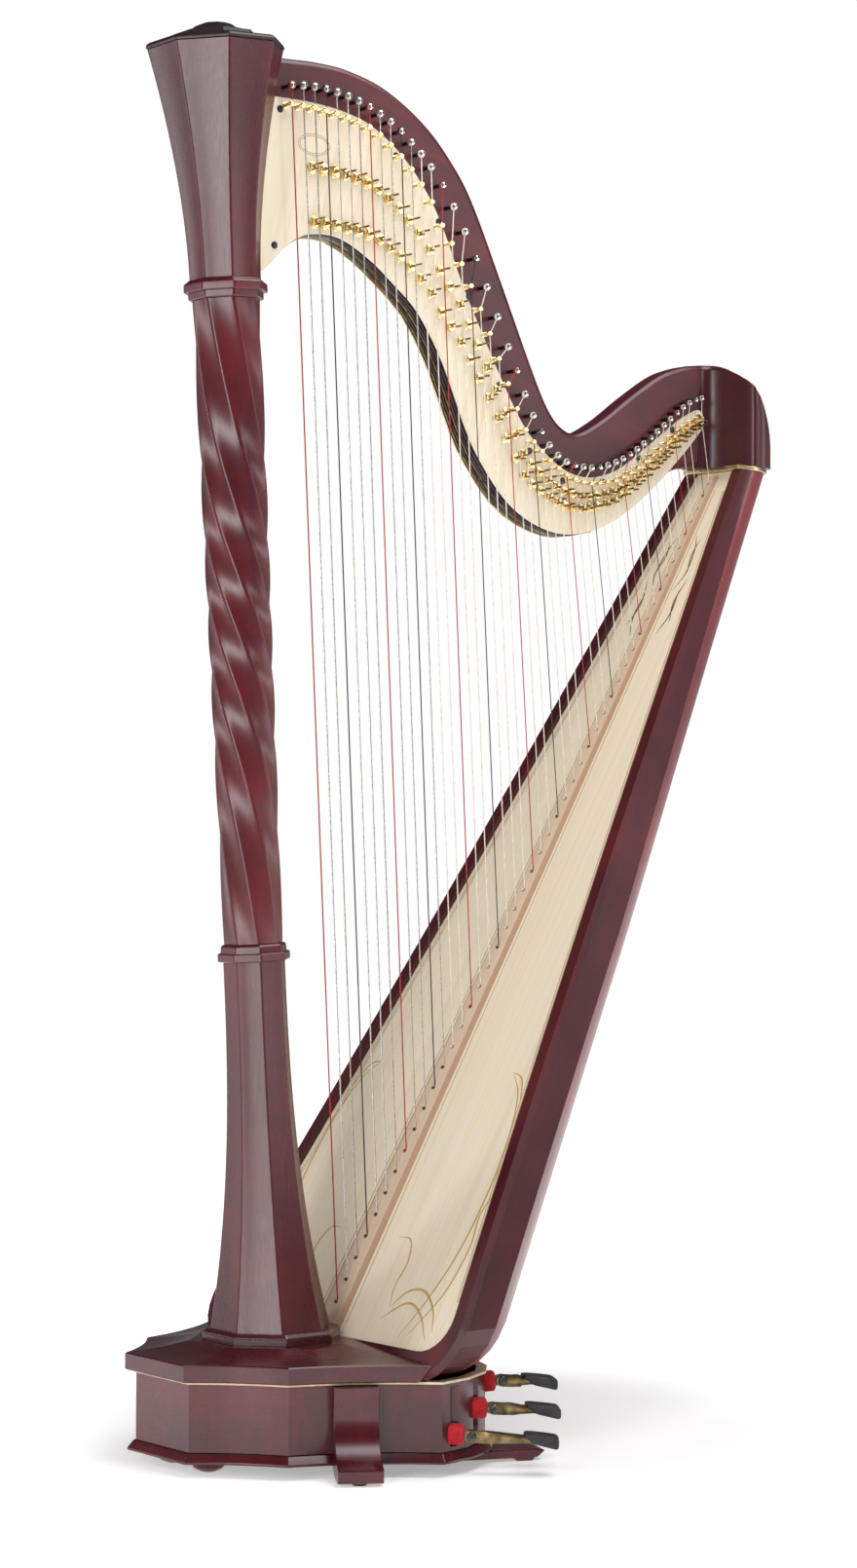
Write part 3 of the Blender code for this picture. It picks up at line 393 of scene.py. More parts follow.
def smooth_line(points, per=3):
    """Catmull-Rom curve through the points, ends kept."""
    pts = [Vector(p).to_3d() for p in points]
    ext = [2 * pts[0] - pts[1]] + pts + [2 * pts[-1] - pts[-2]]
    out = []
    for k in range(1, len(ext) - 2):
        p0, p1, p2, p3 = ext[k - 1:k + 3]
        for s in range(per):
            t = s / per
            out.append(0.5 * (2 * p1 + (p2 - p0) * t + (2 * p0 - 5 * p1 + 4 * p2 - p3) * t * t
                              + (3 * p1 - p0 - 3 * p2 + p3) * t ** 3))
    out.append(pts[-1])
    return out


def height_on(line, x):
    for a, b in zip(line, line[1:]):
        if a[0] <= x <= b[0]:
            return a[1] + (b[1] - a[1]) * (x - a[0]) / (b[0] - a[0])
    return line[0][1] if x < line[0][0] else line[-1][1]


# ================================================================ shared sizes
PLINTH_TOP, PLINTH_BOTTOM, MOULD_EDGE, MOULD_BOTTOM = 0.170, 0.155, 0.143, 0.1205
WALL_TOP = 0.1165
LOWER_LEN, TWIST_START, TWIST_END, CAPITAL_START, CAPITAL_END = 0.480, 0.5033, 1.3417, 1.3683, 1.667
AXIS = Matrix.Translation((-0.003, 0, PLINTH_TOP)) @ Matrix.Rotation(-radians(3.33), 4, "Y")
BOARD_FOOT = Vector((0.086, 0, 0.152))
BOARD_BACK = Vector((0, 1, 0)).cross(UP)
BOARD = Matrix.Translation(BOARD_FOOT) @ Matrix((Vector((0, 1, 0)), UP, BOARD_BACK)).transposed().to_4x4()
BOARD_LEN, SHELL_TOP, SHELL_BOTTOM = 1.3811, 1.345, 0.1203
PLATE_NEAR, PLATE_THICK, NECK_NEAR, NECK_FAR, NECK_END = 0.012, 0.0048, 0.0171, 0.052, 0.760
STRINGS = 47
JOINT_GAP = 0.0003                           # between the stacked pieces of the column


def board_half(s):
    t = s / BOARD_LEN
    return 0.262 - 0.2555 * t + 0.0343 * t * t


# ================================================================ column
def octagon(radius, s, turn=0.0, fillet=0.003, per=3, hollow=0.0):
    """Octagon with rounded corners and slightly hollow sides in the column frame."""
    corners = [Vector((radius * cos(turn + radians(22.5 + 45 * i)),
                       radius * sin(turn + radians(22.5 + 45 * i)), s)) for i in range(8)]
    ring = []
    for i, p in enumerate(corners):
        following = corners[(i + 1) % 8]
        a = p + (corners[i - 1] - p).normalized() * fillet
        b = p + (following - p).normalized() * fillet
        for k in range(per + 1):
            t = k / per
            ring.append(a * (1 - t) ** 2 + p * 2 * t * (1 - t) + b * t * t)
        if hollow:
            middle = (p + following) / 2
            inward = (Vector((0, 0, s)) - middle).normalized()
            for t in (0.2, 0.4, 0.6, 0.8):
                ring.append(b.lerp(following + (p - following).normalized() * fillet, t)
                            + inward * hollow * 4 * t * (1 - t))
    return ring


def column_piece(name, sections, mat, node, fillet=0.0025, sharp=30, hollow=0.0):
    bag = Bag().rings([octagon(r, s, turn, min(fillet, r * 0.3), 3, hollow) for s, r, turn in sections])
    ob = bag.make(name, mat, matrix=AXIS, sharp=sharp, slot="mahogany_stain")
    face_normals(ob)
    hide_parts(node)
    return ob


def moulding(name, start, profile, mat, node, sharp=30):
    """A straight moulding; the profile is (rise above the start, radius)."""
    column_piece(name, [(start + rise, r, 0) for rise, r in profile], mat, node, 0.002, sharp)


def lower_radius(s):
    return 0.0415 + 0.0385 * (1 - s / LOWER_LEN) ** 2.6


def capital_radius(s):
    return 0.0478 + (0.0905 - 0.0478) * ((s - CAPITAL_START) / (CAPITAL_END - CAPITAL_START)) ** 1.75


def build_column():
    steps = [LOWER_LEN * (k / 30) ** 1.2 for k in range(1, 31)]
    column_piece("lower_column", [(-0.003, 0.0805, 0)] + [(s, lower_radius(s), 0) for s in steps],
                 WOOD_UP, "column_lower", 0.0018, 30, 0.0006)
    moulding("lower_collar_moulding", LOWER_LEN + JOINT_GAP, [
        (0, 0.0470), (0.0012, 0.0487), (0.0098, 0.0487), (0.011, 0.0478), (0.0112, 0.0446),
        (0.0195, 0.0440), (0.022, 0.0418)], WOOD_UP, "lower_collar")
    rings = []
    for k in range(141):
        t = k / 140
        ease = t - sin(2 * pi * t) / (2 * pi) * 0.45
        rings.append((TWIST_START + (TWIST_END - TWIST_START) * t, 0.0395 + 0.0060 * t,
                      -radians(315) * ease))
    column_piece("twisted_column", rings, WOOD_TWIST, "column_twist", 0.0030, 30, 0.0006)
    moulding("upper_collar_moulding", TWIST_END + JOINT_GAP, [
        (0, 0.0490), (0.0015, 0.0505), (0.0092, 0.0505), (0.0096, 0.0552), (0.0108, 0.0562),
        (0.0190, 0.0562), (0.0212, 0.0550), (0.0235, 0.0515), (0.0255, 0.0495)], WOOD_UP, "upper_collar")
    steps = [CAPITAL_START + (CAPITAL_END - CAPITAL_START) * k / 30 for k in range(31)]
    column_piece("flared_capital", [(s, capital_radius(s), 0) for s in steps],
                 WOOD_UP, "capital", 0.0018, 30, 0.0007)
    moulding("capital_cover", CAPITAL_END + JOINT_GAP, [
        (0, 0.0890), (0.001, 0.0918), (0.0035, 0.0925), (0.006, 0.0915), (0.0085, 0.0880), (0.010, 0.0800),
        (0.012, 0.0600), (0.014, 0.0560), (0.020, 0.0548), (0.0225, 0.0440), (0.0260, 0.0330),
        (0.031, 0.0260), (0.0340, 0.0180), (0.035, 0.0100)], WOOD_LID, "capital_lid", 40)
    for name in "DCBEFGA":
        dress("pedal_rod_" + name, CHROME)


# ================================================================ base
BOX_HALF = [(-0.170, 0.062), (-0.080, 0.153), (0.090, 0.250), (0.140, 0.238), (0.190, 0.210),
            (0.222, 0.172), (0.242, 0.120), (0.248, 0.045)]
BOX_SAG = [0.006, 0.012, 0, 0, 0, 0, 0]


def offset_outline(points, amount):
    out, count = [], len(points)
    for i in range(count):
        a, b, c = (Vector(points[k % count]) for k in (i - 1, i, i + 1))
        d0, d1 = (b - a).normalized(), (c - b).normalized()
        n0, n1 = Vector((d0.y, -d0.x)), Vector((d1.y, -d1.x))
        mitre = (n0 + n1).normalized()
        out.append(tuple(b + mitre * (amount / max(0.5, mitre.dot(n0)))))
    return out


def box_plan(arc):
    half = []
    for (p, q), sag in zip(zip(BOX_HALF, BOX_HALF[1:]), BOX_SAG):
        a, b = Vector(p), Vector(q)
        side = Vector(((b - a).y, -(b - a).x)).normalized()
        steps = arc if sag else 2
        for s in range(steps):
            t = s / steps
            half.append(tuple(a.lerp(b, t) + side * sag * 4 * t * (1 - t)))
    half.append(BOX_HALF[-1])
    return [(x, -y) for x, y in half] + half[::-1]


def build_base():
    arc = 14
    plan = box_plan(arc)
    low = offset_outline(plan, 0.013)
    count = len(low)
    half_count = count // 2
    # each side of the moulding sweeps up, hollow, to one side of the octagon under the column
    corners = [Vector((0.108 * cos(radians(a)), 0.108 * sin(radians(a)), 0))
               for a in (202.5, 247.5, 292.5, 337.5)]
    inner = []
    for i in range(half_count):
        if i < arc:
            inner.append(corners[0].lerp(corners[1], i / arc))
        elif i < 2 * arc:
            inner.append(corners[1].lerp(corners[2], (i - arc) / arc))
        else:
            inner.append(corners[2].lerp(corners[3], (i - 2 * arc) / (half_count - 1 - 2 * arc)))
    inner += [Vector((p.x, -p.y, 0)) for p in inner[::-1]]
    rings = [[Vector((x, y, MOULD_BOTTOM)) for x, y in offset_outline(plan, 0.011)],
             [Vector((x, y, MOULD_BOTTOM + 0.0015)) for x, y in low],
             [Vector((x, y, MOULD_EDGE - 0.0015)) for x, y in low],
             [Vector((x, y, MOULD_EDGE)) for x, y in offset_outline(plan, 0.0115)]]
    for k in range(1, 9):
        t = k / 8
        rise = 0.0005 + (PLINTH_BOTTOM - 0.0003 - MOULD_EDGE) * t ** 1.7
        rings.append([Vector((low[i][0], low[i][1], 0)).lerp(inner[i], 0.04 + 0.96 * t)
                      + Vector((0, 0, MOULD_EDGE + rise)) for i in range(count)])
    bag = Bag().rings(rings)
    mesh = bmesh.new()
    verts = [mesh.verts.new(v) for v in bag.verts]
    for f in bag.faces:
        mesh.faces.new([verts[i] for i in f])
    cut = BOARD @ Vector((0, 0, -0.0068))
    geom = list(mesh.verts) + list(mesh.edges) + list(mesh.faces)
    res = bmesh.ops.bisect_plane(mesh, geom=geom, plane_co=cut, plane_no=BOARD_BACK, clear_outer=True)
    edges = [e for e in res["geom_cut"] if isinstance(e, bmesh.types.BMEdge)]
    bmesh.ops.edgenet_fill(mesh, edges=edges)
    mesh.verts.index_update()
    verts = [v.co.copy() for v in mesh.verts]
    faces = [tuple(v.index for v in f.verts) for f in mesh.faces]
    mesh.free()
    top = piece("platform_moulding", verts, faces, WOOD_TOP, sharp=14, slot="mahogany_stain")
    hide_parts("base_top")
    face_normals(top)

    bag = Bag().rings([octagon(r, z, 0, 0.002) for z, r in (
        (PLINTH_BOTTOM, 0.0925), (PLINTH_BOTTOM + 0.001, 0.093), (0.1635, 0.093), (0.1640, 0.0915),
        (0.1655, 0.0915), (0.1668, 0.0905), (PLINTH_TOP - 0.0003, 0.0875))])
    plinth = bag.make("octagonal_plinth", WOOD_TOP, sharp=30, slot="mahogany_stain")
    face_normals(plinth)
    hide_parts("plinth")

    dress("pedal_box", WOOD_BASE, 0.0008)
    dress("skirt", WOOD_BASE, 0.0008)
    dress("purfling", MAPLE_EDGE, 0.0004)
    dress("pedal_frame", IRON, 0.0006)
    for side, sign in (("left", -1), ("right", 1)):
        build_leg(side, sign)
        dress("tail_foot_" + side, WOOD_LEG, 0.003)
        # turned front foot
        at = Matrix.Translation((-0.125, sign * 0.040, 0))
        Bag().turned([(0.0, 0.0098), (0.0012, 0.0125), (0.0035, 0.0178), (0.0065, 0.0206), (0.0100, 0.0212),
                      (0.0130, 0.0200), (0.0155, 0.0205), (0.0172, 0.0215), (0.0205, 0.0215)], at, 32).make(
            "turned_foot_" + side, WOOD_LEG, slot="mahogany_stain")


def build_leg(side, sign):
    a, b = Vector((-0.026, sign * 0.174)), Vector((0.024, sign * 0.203))
    along = (b - a).normalized()
    out = Vector((along.y, -along.x)) * -sign
    mid = (a + b) / 2
    face = smooth_line([
        (0.019, WALL_TOP - 0.001), (0.0175, 0.103), (0.0160, 0.088), (0.0160, 0.072), (0.0195, 0.056),
        (0.0285, 0.042), (0.0420, 0.031), (0.0560, 0.0245), (0.0680, 0.0215)], 4)
    profile = [(0.0, WALL_TOP - 0.001)] + [(p.x, p.y) for p in face] + [
        (0.0690, 0.0195), (0.0670, 0.0050), (0.0655, 0.0042), (0.030, 0.0045), (0.012, 0.013), (0.0, 0.013)]
    rings = []
    for w, inset in ((-0.029, 0.0012), (-0.0278, 0.0), (0.0278, 0.0), (0.029, 0.0012)):
        ring = []
        for d, z in profile:
            ring.append(Vector((*(mid + out * (d - (inset if d > 0.001 else 0)) + along * w), z)))
        rings.append(ring)
    leg = Bag().rings(rings).make("scrolled_leg_" + side, WOOD_LEG, sharp=26, slot="mahogany_stain")
    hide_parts("leg_" + side)
    centre = mid + out * 0.050
    Bag().turned([(0.0, 0.0085), (0.001, 0.0095), (0.0034, 0.0095), (0.0046, 0.0085)],
                 Matrix.Translation((*centre, 0)), 24).make("leg_glide_" + side, RUBBER)


# ================================================================ soundbox
HOLES = [(0.26, 0.062, 0.095), (0.52, 0.052, 0.085), (0.76, 0.042, 0.075), (0.96, 0.034, 0.062),
         (1.13, 0.026, 0.050)]                # station, half width, half length


def corner(s, start, radius):
    if s >= start + radius:
        return 0.0
    drop = min(radius, start + radius - s)
    return radius - sqrt(radius * radius - drop * drop)


def shell_slice(z, inset, arc=30):
    """Level slice of the box: flat side, crease, then the round back."""
    run, slope = UP.z, UP.x / UP.z
    s = (z - BOARD_FOOT.z) / run
    front = BOARD_FOOT.x + (z - BOARD_FOOT.z) * slope + 0.0033 / run
    half = board_half(max(0.0, s)) + 0.019 - 0.002 - corner(s, -0.04, 0.085) - inset
    grow = min(1.0, max(0.0, s / BOARD_LEN))
    side = 0.045 - 0.032 * max(0.0, (grow - 0.45) / 0.55) ** 1.2
    deep = (0.1550 - 0.0905 * grow ** 1.35 - side) / run - inset
    side /= run
    lean, half_back = radians(20), half - 0.002
    points = [(front, half), (front + side * 0.5, half - 0.001)]
    for i in range(arc + 1):
        a = lean + (pi - 2 * lean) * i / arc
        points.append((front + side + deep * (sin(a) - sin(lean)) / (1 - sin(lean)),
                       half_back * cos(a) / cos(lean)))
    points += [(front + side * 0.5, -half + 0.001), (front, -half)]
    return [Vector((x, y, z)) for x, y in points]


def build_shell():
    floor = [shell_slice(SHELL_BOTTOM + rise, inset) for rise, inset in (
        (0.0006, 0.0070), (0.0008, 0.0062), (0.0040, 0.0062), (0.0042, 0.0070))]
    Bag().rings(floor).make("soundbox_floor", WOOD_BOX, sharp=30, slot="mahogany_stain")
    levels = [SHELL_BOTTOM, 0.128, 0.138, 0.150, 0.165, 0.185, 0.215]
    levels += [0.215 + (SHELL_TOP - 0.215) * k / 26 for k in range(1, 27)]
    outer = [shell_slice(z, 0.0) for z in levels]
    inner = [shell_slice(z, 0.0055) for z in levels]
    count = len(outer[0])
    mesh = bmesh.new()
    grid = [[mesh.verts.new(v) for v in ring] for ring in outer]
    back = [[mesh.verts.new(v) for v in ring] for ring in inner]
    for k in range(len(levels) - 1):
        for i in range(count - 1):
            f = mesh.faces.new((grid[k][i], grid[k][i + 1], grid[k + 1][i + 1], grid[k + 1][i]))
            f.material_index = 0 if i < 2 or i >= count - 3 else 1
            mesh.faces.new((back[k][i + 1], back[k][i], back[k + 1][i], back[k + 1][i + 1]))
        for i in (0, count - 1):
            mesh.faces.new((grid[k][i], grid[k + 1][i], back[k + 1][i], back[k][i]))
    for k in (0, len(levels) - 1):
        for i in range(count - 1):
            mesh.faces.new((grid[k][i], grid[k][i + 1], back[k][i + 1], back[k][i]))
    bmesh.ops.recalc_face_normals(mesh, faces=mesh.faces)
    data = bpy.data.meshes.new("shell")
    mesh.to_mesh(data)
    mesh.free()
    for mat in (WOOD_BOX, WOOD_BACK):
        data.materials.append(mat)
    shell = place("shell", data)
    cutters = []
    for station, half, length in HOLES:
        ring = []
        for i in range(48):
            a = (i + 0.5) * pi / 24
            end = (length - half) * (1 if sin(a) > 0 else -1)
            ring.append((half * cos(a), station + 0.03 + end + half * sin(a)))
        bag = Bag().rings([[BOARD @ Vector((x, y, depth)) for x, y in ring] for depth in (0.030, 0.240)])
        data = bpy.data.meshes.new("cut")
        data.from_pydata([tuple(v) for v in bag.verts], [], bag.faces)
        cut = place("cut", data)
        mod = shell.modifiers.new("cut", "BOOLEAN")
        mod.object, mod.operation, mod.solver = cut, "DIFFERENCE", "EXACT"
        cutters.append(cut)
    bpy.context.view_layer.update()
    done = bpy.data.meshes.new_from_object(shell.evaluated_get(bpy.context.evaluated_depsgraph_get()))
    verts = [v.co.copy() for v in done.vertices]
    faces = [tuple(f.vertices) for f in done.polygons]
    which = [f.material_index for f in done.polygons]
    for ob in cutters + [shell]:
        bpy.data.objects.remove(ob)
    ob = piece("soundbox_shell", verts, faces, [WOOD_BOX, WOOD_BACK], sharp=12, slot="mahogany_stain")
    for f, m in zip(ob.data.polygons, which):
        f.material_index = m
    face_normals(ob)
    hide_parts("soundbox")


def board_ribbon(name, path, width, mat, lift=0.00025, thick=0.0006, taper=True):
    """A flat strip lying on the face of the soundboard."""
    pts = [Vector(p).to_3d() for p in path]
    rings = []
    for k, p in enumerate(pts):
        d = (pts[min(k + 1, len(pts) - 1)] - pts[max(k - 1, 0)]).normalized()
        n = Vector((-d.y, d.x, 0))
        t = k / (len(pts) - 1)
        w = width / 2 * (max(0.12, sin(pi * t) ** 0.6) if taper else 1)
        rings.append([p - n * w + Vector((0, 0, thick)), p + n * w + Vector((0, 0, thick)),
                      p + n * w * 0.92 - Vector((0, 0, lift)), p - n * w * 0.92 - Vector((0, 0, lift))])
    return Bag().rings(rings).make(name, mat, matrix=BOARD)


def build_soundbox():
    build_shell()
    dress("soundboard", SPRUCE, 0.0003)
    dress("edge_trim", WOOD_TRIM, 0.0016)
    dress("brass_band", BAND, 0.0010)

    # raised rib with sloping sides that carries the strings
    rings = []
    for k in range(9):
        s = 0.006 + (BOARD_LEN - 0.016) * k / 8
        w = 0.020 - 0.0145 * k / 8
        slope = 0.0085 - 0.0035 * k / 8
        rings.append([Vector((x, s, y)) for x, y in (
            (-w - slope, 0.0005), (-w - slope, -0.0008), (-w, -0.0046),
            (w, -0.0046), (w + slope, -0.0008), (w + slope, 0.0005))])
    bag = Bag().rings(rings)
    rib = bag.make("string_rib", [RIB_WOOD, RIB_SIDE], matrix=BOARD, sharp=15)
    for f in rib.data.polygons:
        if abs(f.normal.y) > 0.30 and abs(f.normal.y) < 0.95:
            f.material_index = 1

    for sign, side in ((-1, "near"), (1, "far")):
        for j, inset in enumerate((0.0085, 0.0120)):
            stations = [0.075 + 1.27 * k / 16 for k in range(17)]
            path = [(sign * (board_half(s) - inset), s) for s in stations]
            board_ribbon("edge_inlay_%s_%d" % (side, j), path, 0.0011, INLAY, taper=False)
        path = [(sign * (0.0345 - 0.0195 * k / 8), 0.02 + 1.33 * k / 8) for k in range(9)]
        board_ribbon("rib_inlay_" + side, path, 0.0012, INLAY, taper=False)
        swooshes(sign, side)


SWEEPS = [       # sweeping strokes on the lower board: points as (distance from the rib, height), width
    ([(0.062, 0.150), (0.090, 0.148), (0.104, 0.118), (0.100, 0.082), (0.108, 0.052)], 0.0030),
    ([(0.108, 0.052), (0.132, 0.078), (0.164, 0.082), (0.196, 0.060), (0.214, 0.030)], 0.0036),
    ([(0.098, 0.034), (0.140, 0.062), (0.176, 0.050), (0.206, 0.018)], 0.0034),
    ([(0.150, 0.014), (0.176, 0.070), (0.196, 0.140), (0.202, 0.220), (0.196, 0.300), (0.176, 0.368),
      (0.146, 0.402)], 0.0036),
    ([(0.168, 0.020), (0.204, 0.084), (0.214, 0.150), (0.206, 0.196), (0.216, 0.232)], 0.0034),
    ([(0.146, 0.402), (0.170, 0.392), (0.190, 0.350)], 0.0026),
]
TIPS = [         # small strokes near the top of the board
    ([(0.028, 1.10), (0.040, 1.135), (0.036, 1.175)], 0.0026),
    ([(0.046, 1.12), (0.036, 1.155), (0.044, 1.195)], 0.0026),
    ([(0.022, 1.175), (0.034, 1.205), (0.030, 1.245), (0.020, 1.270)], 0.0026),
    ([(0.036, 1.205), (0.028, 1.235), (0.033, 1.262)], 0.0022),
]


def swooshes(sign, side):
    for j, (points, width) in enumerate(SWEEPS):
        path = smooth_line([(sign * x, s) for x, s in points], 8)
        board_ribbon("sweep_%s_%d" % (side, j), path, width, SCROLL, 0.0002, 0.0003)
    for j, (points, width) in enumerate(TIPS):
        path = smooth_line([(sign * x, s) for x, s in points], 8)
        board_ribbon("tip_%s_%d" % (side, j), path, width, SCROLL_DARK, 0.0002, 0.0003)


# ================================================================ neck
NECK_TOP = [(-0.045, 1.844), (-0.012, 1.8455), (0.012, 1.846), (0.038, 1.847), (0.075, 1.8485),
            (0.130, 1.845), (0.195, 1.827), (0.262, 1.787), (0.313, 1.736), (0.348, 1.684),
            (0.400, 1.578), (0.454, 1.465), (0.482, 1.415), (0.507, 1.391), (0.535, 1.386),
            (0.580, 1.409), (0.634, 1.447), (0.690, 1.482), (0.735, 1.498), (NECK_END, 1.502)]
PLATE_TOP = [(-0.045, 1.790), (0.007, 1.791), (0.063, 1.791), (0.120, 1.785), (0.168, 1.770),
             (0.218, 1.736), (0.260, 1.690), (0.289, 1.641), (0.320, 1.574), (0.355, 1.510),
             (0.398, 1.435), (0.433, 1.384), (0.469, 1.352), (0.504, 1.331), (0.540, 1.323),
             (0.577, 1.328), (0.613, 1.343), (0.668, 1.381), (0.720, 1.418), (0.755, 1.436)]
PLATE_LOW = [(-0.045, 1.548), (-0.015, 1.558), (0.009, 1.581), (0.032, 1.601), (0.064, 1.615),
             (0.112, 1.615), (0.161, 1.593), (0.202, 1.564), (0.245, 1.528), (0.287, 1.466),
             (0.329, 1.376), (0.356, 1.332), (0.400, 1.282), (0.450, 1.252), (0.505, 1.240),
             (0.560, 1.249), (0.613, 1.274), (0.669, 1.315), (0.725, 1.366), (0.758, 1.400)]
NECK_LOW = PLATE_LOW[:17] + [(0.662, 1.310), (0.700, 1.338), (0.732, 1.350), (NECK_END, 1.3525)]
PIN_LINE = [(0.0, 1.803), (0.040, 1.808), (0.075, 1.8085), (0.112, 1.804), (0.150, 1.794),
            (0.186, 1.778), (0.220, 1.755), (0.253, 1.727), (0.290, 1.682), (0.333, 1.609),
            (0.372, 1.531), (0.407, 1.458), (0.435, 1.402), (0.466, 1.361), (0.495, 1.341),
            (0.526, 1.3355), (0.559, 1.3375), (0.602, 1.353), (0.642, 1.378), (0.681, 1.408),
            (0.716, 1.4355), (0.740, 1.448), (0.755, 1.452)]
PIN_OFFSET = [(0, 0.0), (13, 0.0), (20, 0.020), (25, 0.0155), (33, 0.0183), (46, 0.005)]
PIN_CURVE = smooth_line(PIN_LINE)
PLATE_CURVE = smooth_line(PLATE_TOP)


def foot_station(i):
    return 0.045 + 0.032293 * i - 0.00000177 * i ** 3


def string_ends(i):
    x = 0.0206 + 0.0188 * i - 0.0000655 * i * i
    return BOARD @ Vector((0, foot_station(i), -0.002)), Vector((x, 0, height_on(PIN_CURVE, x)))


def tuning_pin(i):
    x = string_ends(i)[1].x + height_on(PIN_OFFSET, i)
    return Vector((x, 0, height_on(PIN_CURVE, x)))


def disc_points(i):
    foot, pin = string_ends(i)
    direction = (foot - pin).normalized()
    point = pin.copy()
    for _ in range(60):
        slope = (height_on(PLATE_CURVE, point.x + 0.004) - height_on(PLATE_CURVE, point.x - 0.004)) / 0.008
        if point.z < height_on(PLATE_CURVE, point.x) - 0.010 * sqrt(1 + slope * slope):
            break
        point += direction * 0.001
    length = (foot - point).length
    return point, point + direction * length * 0.0561, point + direction * length * 0.1091


def normal_at(line, x, step=0.003):
    rise = height_on(line, x + step) - height_on(line, x - step)
    return Vector((-rise, 2 * step)).normalized()


def band(name, low, top, start, end, levels, mat, tip=(), **options):
    """Slab between two curves in XZ; levels are (y, inset of both edges)."""
    count = 150
    stations = [start + (end - start) * k / count for k in range(count + 1)]
    rings = []
    for y, inset in levels:
        below, above = [], []
        for x in stations:
            n = normal_at(low, x) * inset
            below.append(Vector((x + n.x, y, height_on(low, x) + n.y)))
            n = normal_at(top, x) * inset
            above.append(Vector((x - n.x, y, height_on(top, x) - n.y)))
        for (x0, z0), (x1, z1) in tip:
            below.append(Vector((x0 - inset, y, z0 + inset * 0.5)))
            above.append(Vector((x1 - inset, y, z1 - inset * 0.5)))
        rings.append(below + above[::-1])
    bag = Bag().rings(rings, caps=False)
    size = len(rings[0])
    for base in (0, (len(rings) - 1) * size):
        for k in range(size // 2 - 1):
            bag.faces.append((base + k, base + k + 1, base + size - 2 - k, base + size - 1 - k))
    return bag.make(name, mat, **options)


def build_neck():
    # the near end of each part runs into the capital
    top, low = smooth_line(NECK_TOP, 8), smooth_line(NECK_LOW, 8)
    r = 0.0095
    levels = [(NECK_NEAR + r * (1 - cos(a)) * 0.9, r * (1 - sin(a)))
              for a in (k * pi / 14 for k in range(8))]
    levels += [(NECK_FAR - 0.004, 0), (NECK_FAR - 0.0012, 0.0012), (NECK_FAR, 0.004)]
    neck = band("laminated_neck", low, top, -0.045, NECK_END, levels, WOOD_NECK, sharp=40,
                slot="mahogany_stain")
    face_normals(neck)
    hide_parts("neck")

    near = band("near_action_plate", smooth_line(PLATE_LOW, 8), smooth_line(PLATE_TOP, 8), -0.045, 0.7545,
                [(PLATE_NEAR, 0.0008), (PLATE_NEAR + 0.0007, 0), (PLATE_NEAR + PLATE_THICK, 0)], MAPLE,
                tip=[((0.7610, 1.4035), (0.7605, 1.4350)), ((0.7655, 1.4095), (0.7650, 1.4315)),
                     ((0.7685, 1.4180), (0.7683, 1.4245))], sharp=40)
    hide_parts("action_plate_near")
    dress("action_plate_far", BAND, 0.0004)

    # action rods showing along the underside of the neck
    for j, y in enumerate((0.0215, 0.0275, 0.0335, 0.0395, 0.0455)):
        path = []
        for p in smooth_line(PLATE_LOW[2:16], 5):
            n = normal_at(low, p.x, 0.004) * -0.0009
            path.append((p.x + n.x, y, p.y + n.y))
        Bag().tube(path, 0.0014, 8).make("action_rod_%d" % j, [BLUED, BLUED, ANTIQUE, BLUED, ANTIQUE][j])

    # countersunk plate screws
    heads, slots = Bag(), Bag()
    for k, (x, z) in enumerate(((0.0115, 1.7752), (0.0035, 1.5934), (0.2036, 1.7369), (0.2775, 1.6556),
                                (0.3306, 1.5586), (0.385, 1.4406), (0.4396, 1.3527), (0.4997, 1.3152),
                                (0.5739, 1.3189), (0.6429, 1.3567), (0.7063, 1.4031), (0.7572, 1.4245))):
        face = Matrix.Translation((x, PLATE_NEAR, z)) @ Matrix.Rotation(pi / 2, 4, "X")
        heads.turned([(-0.001, 0.0050), (0.0004, 0.0050), (0.0011, 0.0042), (0.0014, 0.0022)], face, 20)
        slots.block((0.0072, 0.0011, 0.0006), face @ Matrix.Rotation(0.7 * k + 0.4, 4, "Z")
                    @ Matrix.Translation((0, 0, 0.0014)), 0.0002)
    heads.make("plate_screws", BLUED)
    slots.make("screw_slots", IRON)

    # plain double oval let into the plate
    for j, (a, b) in enumerate(((0.0258, 0.0143), (0.0228, 0.0117))):
        ring = []
        for w, y in ((0.0004, PLATE_NEAR + 0.0004), (0.0004, PLATE_NEAR - 0.00015),
                     (-0.0004, PLATE_NEAR - 0.00015), (-0.0004, PLATE_NEAR + 0.0004)):
            ring.append([Vector((0.0668 + (a + w) * cos(t * pi / 32), y,
                                 1.7345 + (b + w) * sin(t * pi / 32))) for t in range(64)])
        bag = Bag().rings(ring + [ring[0]], caps=False)
        bag.make("oval_inlay_%d" % j, INLAY)


